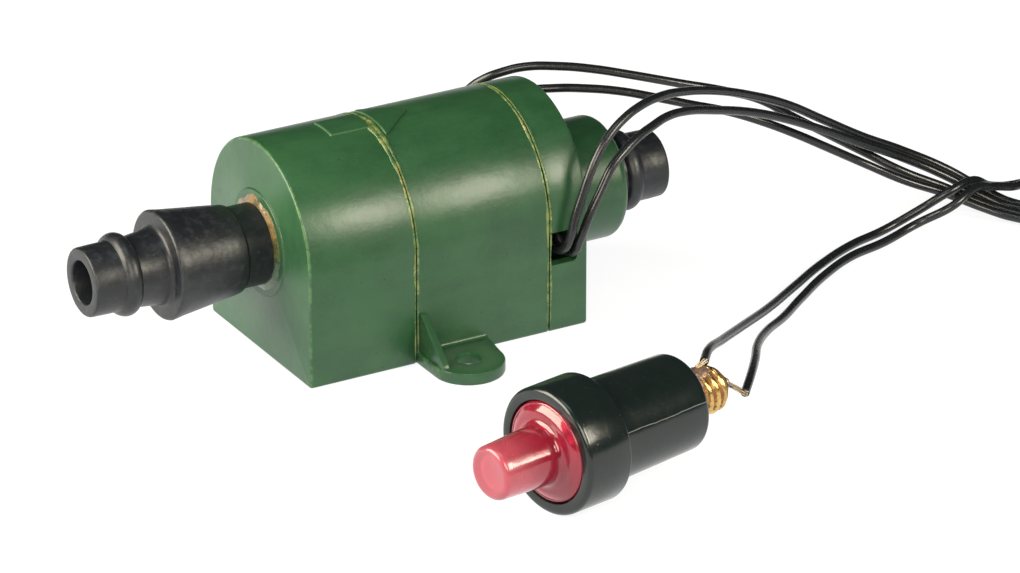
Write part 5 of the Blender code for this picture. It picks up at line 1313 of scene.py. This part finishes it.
def inner_finishes():
    """Finishes for the working pieces inside the housing, which keep their own meshes."""
    zinc = metal("zinc_plate", (0.46, 0.46, 0.44), (0.66, 0.66, 0.63), 0.32, (0.2, 1.2, 1.2))
    steel = metal("screw_steel", (0.42, 0.42, 0.42), (0.62, 0.62, 0.60), 0.24, (0.2, 1.5, 1.5))
    copper = metal("copper_wire", (0.55, 0.22, 0.10), (0.82, 0.40, 0.20), 0.28, (3.0, 0.4, 0.4),
                   (0.2, 0.06, 0.03))
    bronze = metal("bronze_bush", (0.40, 0.25, 0.12), (0.60, 0.40, 0.20), 0.38, (1.5, 1.5, 1.5))
    strip = metal("brass_strip", (0.52, 0.36, 0.13), (0.70, 0.50, 0.20), 0.30, (0.3, 1.4, 1.4),
                  (0.2, 0.1, 0.05))
    nylon = matte("white_nylon", (0.70, 0.68, 0.61), (0.82, 0.80, 0.74), 0.38, 0.8)
    grey = matte("grey_plastic", (0.19, 0.20, 0.21), (0.29, 0.30, 0.31), 0.42, 1.1)
    rubber = matte("diaphragm_rubber", (0.02, 0.02, 0.021), (0.05, 0.05, 0.052), 0.6, 1.4)
    ferrite = matte("magnet_ferrite", (0.04, 0.04, 0.045), (0.08, 0.08, 0.085), 0.5, 2.0)
    carbon = matte("carbon", (0.02, 0.02, 0.02), (0.05, 0.05, 0.05), 0.5, 3.0)
    foam = matte("filter_foam", (0.05, 0.05, 0.048), (0.26, 0.26, 0.25), 0.85, 1.6, pitted=0.5)
    plan = {
        zinc: "motor_can eccentric diaphragm_clamp_ring clamp_disc_lower clamp_disc_upper",
        steel: "motor_screw_near motor_screw_far shaft grub_screw",
        copper: "winding_a winding_b winding_c commutator",
        bronze: "front_bearing rear_bearing rod_bush",
        strip: "brush_terminal_near brush_terminal_far",
        nylon: "end_bell valve_plate chamber_ring connecting_rod",
        grey: "motor_bulkhead pump_base air_duct",
        rubber: "diaphragm intake_flap exhaust_flap",
        ferrite: "magnet_upper magnet_lower",
        carbon: "brush_near brush_far",
        foam: "inlet_filter",
        laminations(): "armature_core",
    }
    for finish, names in plan.items():
        for name in names.split():
            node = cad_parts[name]
            node.data.materials.clear()
            node.data.materials.append(finish)


# ---------------------------------------------------------------- studio

def softbox(name, place, aim, size, power, tint):
    """A rectangular soft light that faces a point. Places are in millimetres."""
    lamp = bpy.data.lights.new(name, "AREA")
    lamp.shape = "RECTANGLE"
    lamp.size, lamp.size_y = (s * MM for s in size)
    lamp.energy = power
    lamp.color = tint
    made = bpy.data.objects.new(name, lamp)
    made.location = Vector(place) * MM
    made.rotation_mode = "QUATERNION"
    made.rotation_quaternion = (Vector(aim) - Vector(place)).to_track_quat("-Z", "Y")
    bpy.context.scene.collection.objects.link(made)


def studio():
    """A pale floor, soft lights and the camera."""
    bm = bmesh.new()
    reach = 3000.0
    steps = 12
    for i in range(steps + 1):
        for j in range(steps + 1):
            bm.verts.new((-reach + 2 * reach * i / steps, -reach + 2 * reach * j / steps, -0.05))
    bm.verts.ensure_lookup_table()
    for i in range(steps):
        for j in range(steps):
            a = i * (steps + 1) + j
            bm.faces.new([bm.verts[k] for k in (a, a + steps + 1, a + steps + 2, a + 1)])
    bm.transform(Matrix.Scale(MM, 4))
    mesh = bpy.data.meshes.new("floor")
    bm.to_mesh(mesh)
    bm.free()
    mesh.materials.append(pale_floor())
    floor = bpy.data.objects.new("floor", mesh)
    bpy.context.scene.collection.objects.link(floor)

    world = bpy.data.worlds.new("studio_sky")
    world.use_nodes = True
    background = world.node_tree.nodes["Background"]
    background.inputs["Color"].default_value = (1.0, 1.0, 1.0, 1.0)
    background.inputs["Strength"].default_value = 0.03
    bpy.context.scene.world = world

    middle = Vector((20.0, -20.0, 20.0))
    warm = (1.0, 0.93, 0.76)
    softbox("band_light", middle + Vector((270.0, -490.0, 300.0)), middle, (190.0, 230.0), 3.0, warm)
    softbox("fill_light", middle + Vector((-300.0, -560.0, 330.0)), middle, (420.0, 300.0), 3.4, warm)
    softbox("left_light", middle + Vector((-570.0, 150.0, 290.0)), middle, (520.0, 480.0), 9.0, warm)
    cool = (0.85, 0.93, 1.0)
    softbox("top_light", middle + Vector((-120.0, -60.0, 640.0)), middle, (300.0, 240.0), 0.7, cool)

    look_at = Vector((17.52, -13.73, 8.22))
    azimuth, elevation = math.radians(-29.52), math.radians(24.81)
    back = Vector((
        math.sin(azimuth) * math.cos(elevation),
        -math.cos(azimuth) * math.cos(elevation),
        math.sin(elevation),
    ))
    camera = bpy.data.cameras.new("camera")
    camera.lens = 244.3
    camera.sensor_width = 36.0
    camera.clip_start, camera.clip_end = 0.05, 20.0
    made = bpy.data.objects.new("camera", camera)
    made.location = (look_at + back * 1369.0) * MM
    made.rotation_mode = "QUATERNION"
    made.rotation_quaternion = (-back).to_track_quat("-Z", "Y")
    bpy.context.scene.collection.objects.link(made)
    bpy.context.scene.camera = made
    bpy.context.scene.view_settings.view_transform = "Standard"


def main():
    green = green_plastic()
    rubber = black_rubber()
    black = black_moulding()
    amber = glue()
    brass = tarnished_brass()
    lead_solder = solder()
    copper = tinned_copper()

    studio()
    leads(black_pvc(), copper)
    front_section(green)
    flow_arrow(green)
    motor_section(green)
    for side_name, side in (("near", -1), ("far", 1)):
        ear(f"ear_{side_name}", side, green)
        gusset(f"gusset_{side_name}", side, green)
        ear_fillet(f"ear_fillet_{side_name}", side, green)
    rear_section(green)
    front_lumps = ((0.50, 0.30), (0.53, 0.42), (0.57, 0.30), (0.62, 0.18), (0.70, 0.15))
    seam_glue("front_seam_glue", SEAM_1, amber, 2.0, front_lumps, (GUSSET_HEIGHT + 0.4, GUSSET_HEIGHT + 4.2))
    seam_glue("rear_seam_glue", SEAM_2, amber, 7.0, ((0.62, 0.15), (0.8, 0.2)))
    neck_glue_ring(neck_glue())
    hose_adapters(rubber)
    lamp_holder(black)
    parting_lines(matte("parting_line", (0.10, 0.105, 0.10), (0.20, 0.21, 0.20), 0.4, 2.0))
    lens(red_lens())
    bulb_envelope(lamp_glass(), copper)
    screw_cap(brass)
    cap_end(black, lead_solder)
    shell_solder(lead_solder)
    inner_finishes()


main()
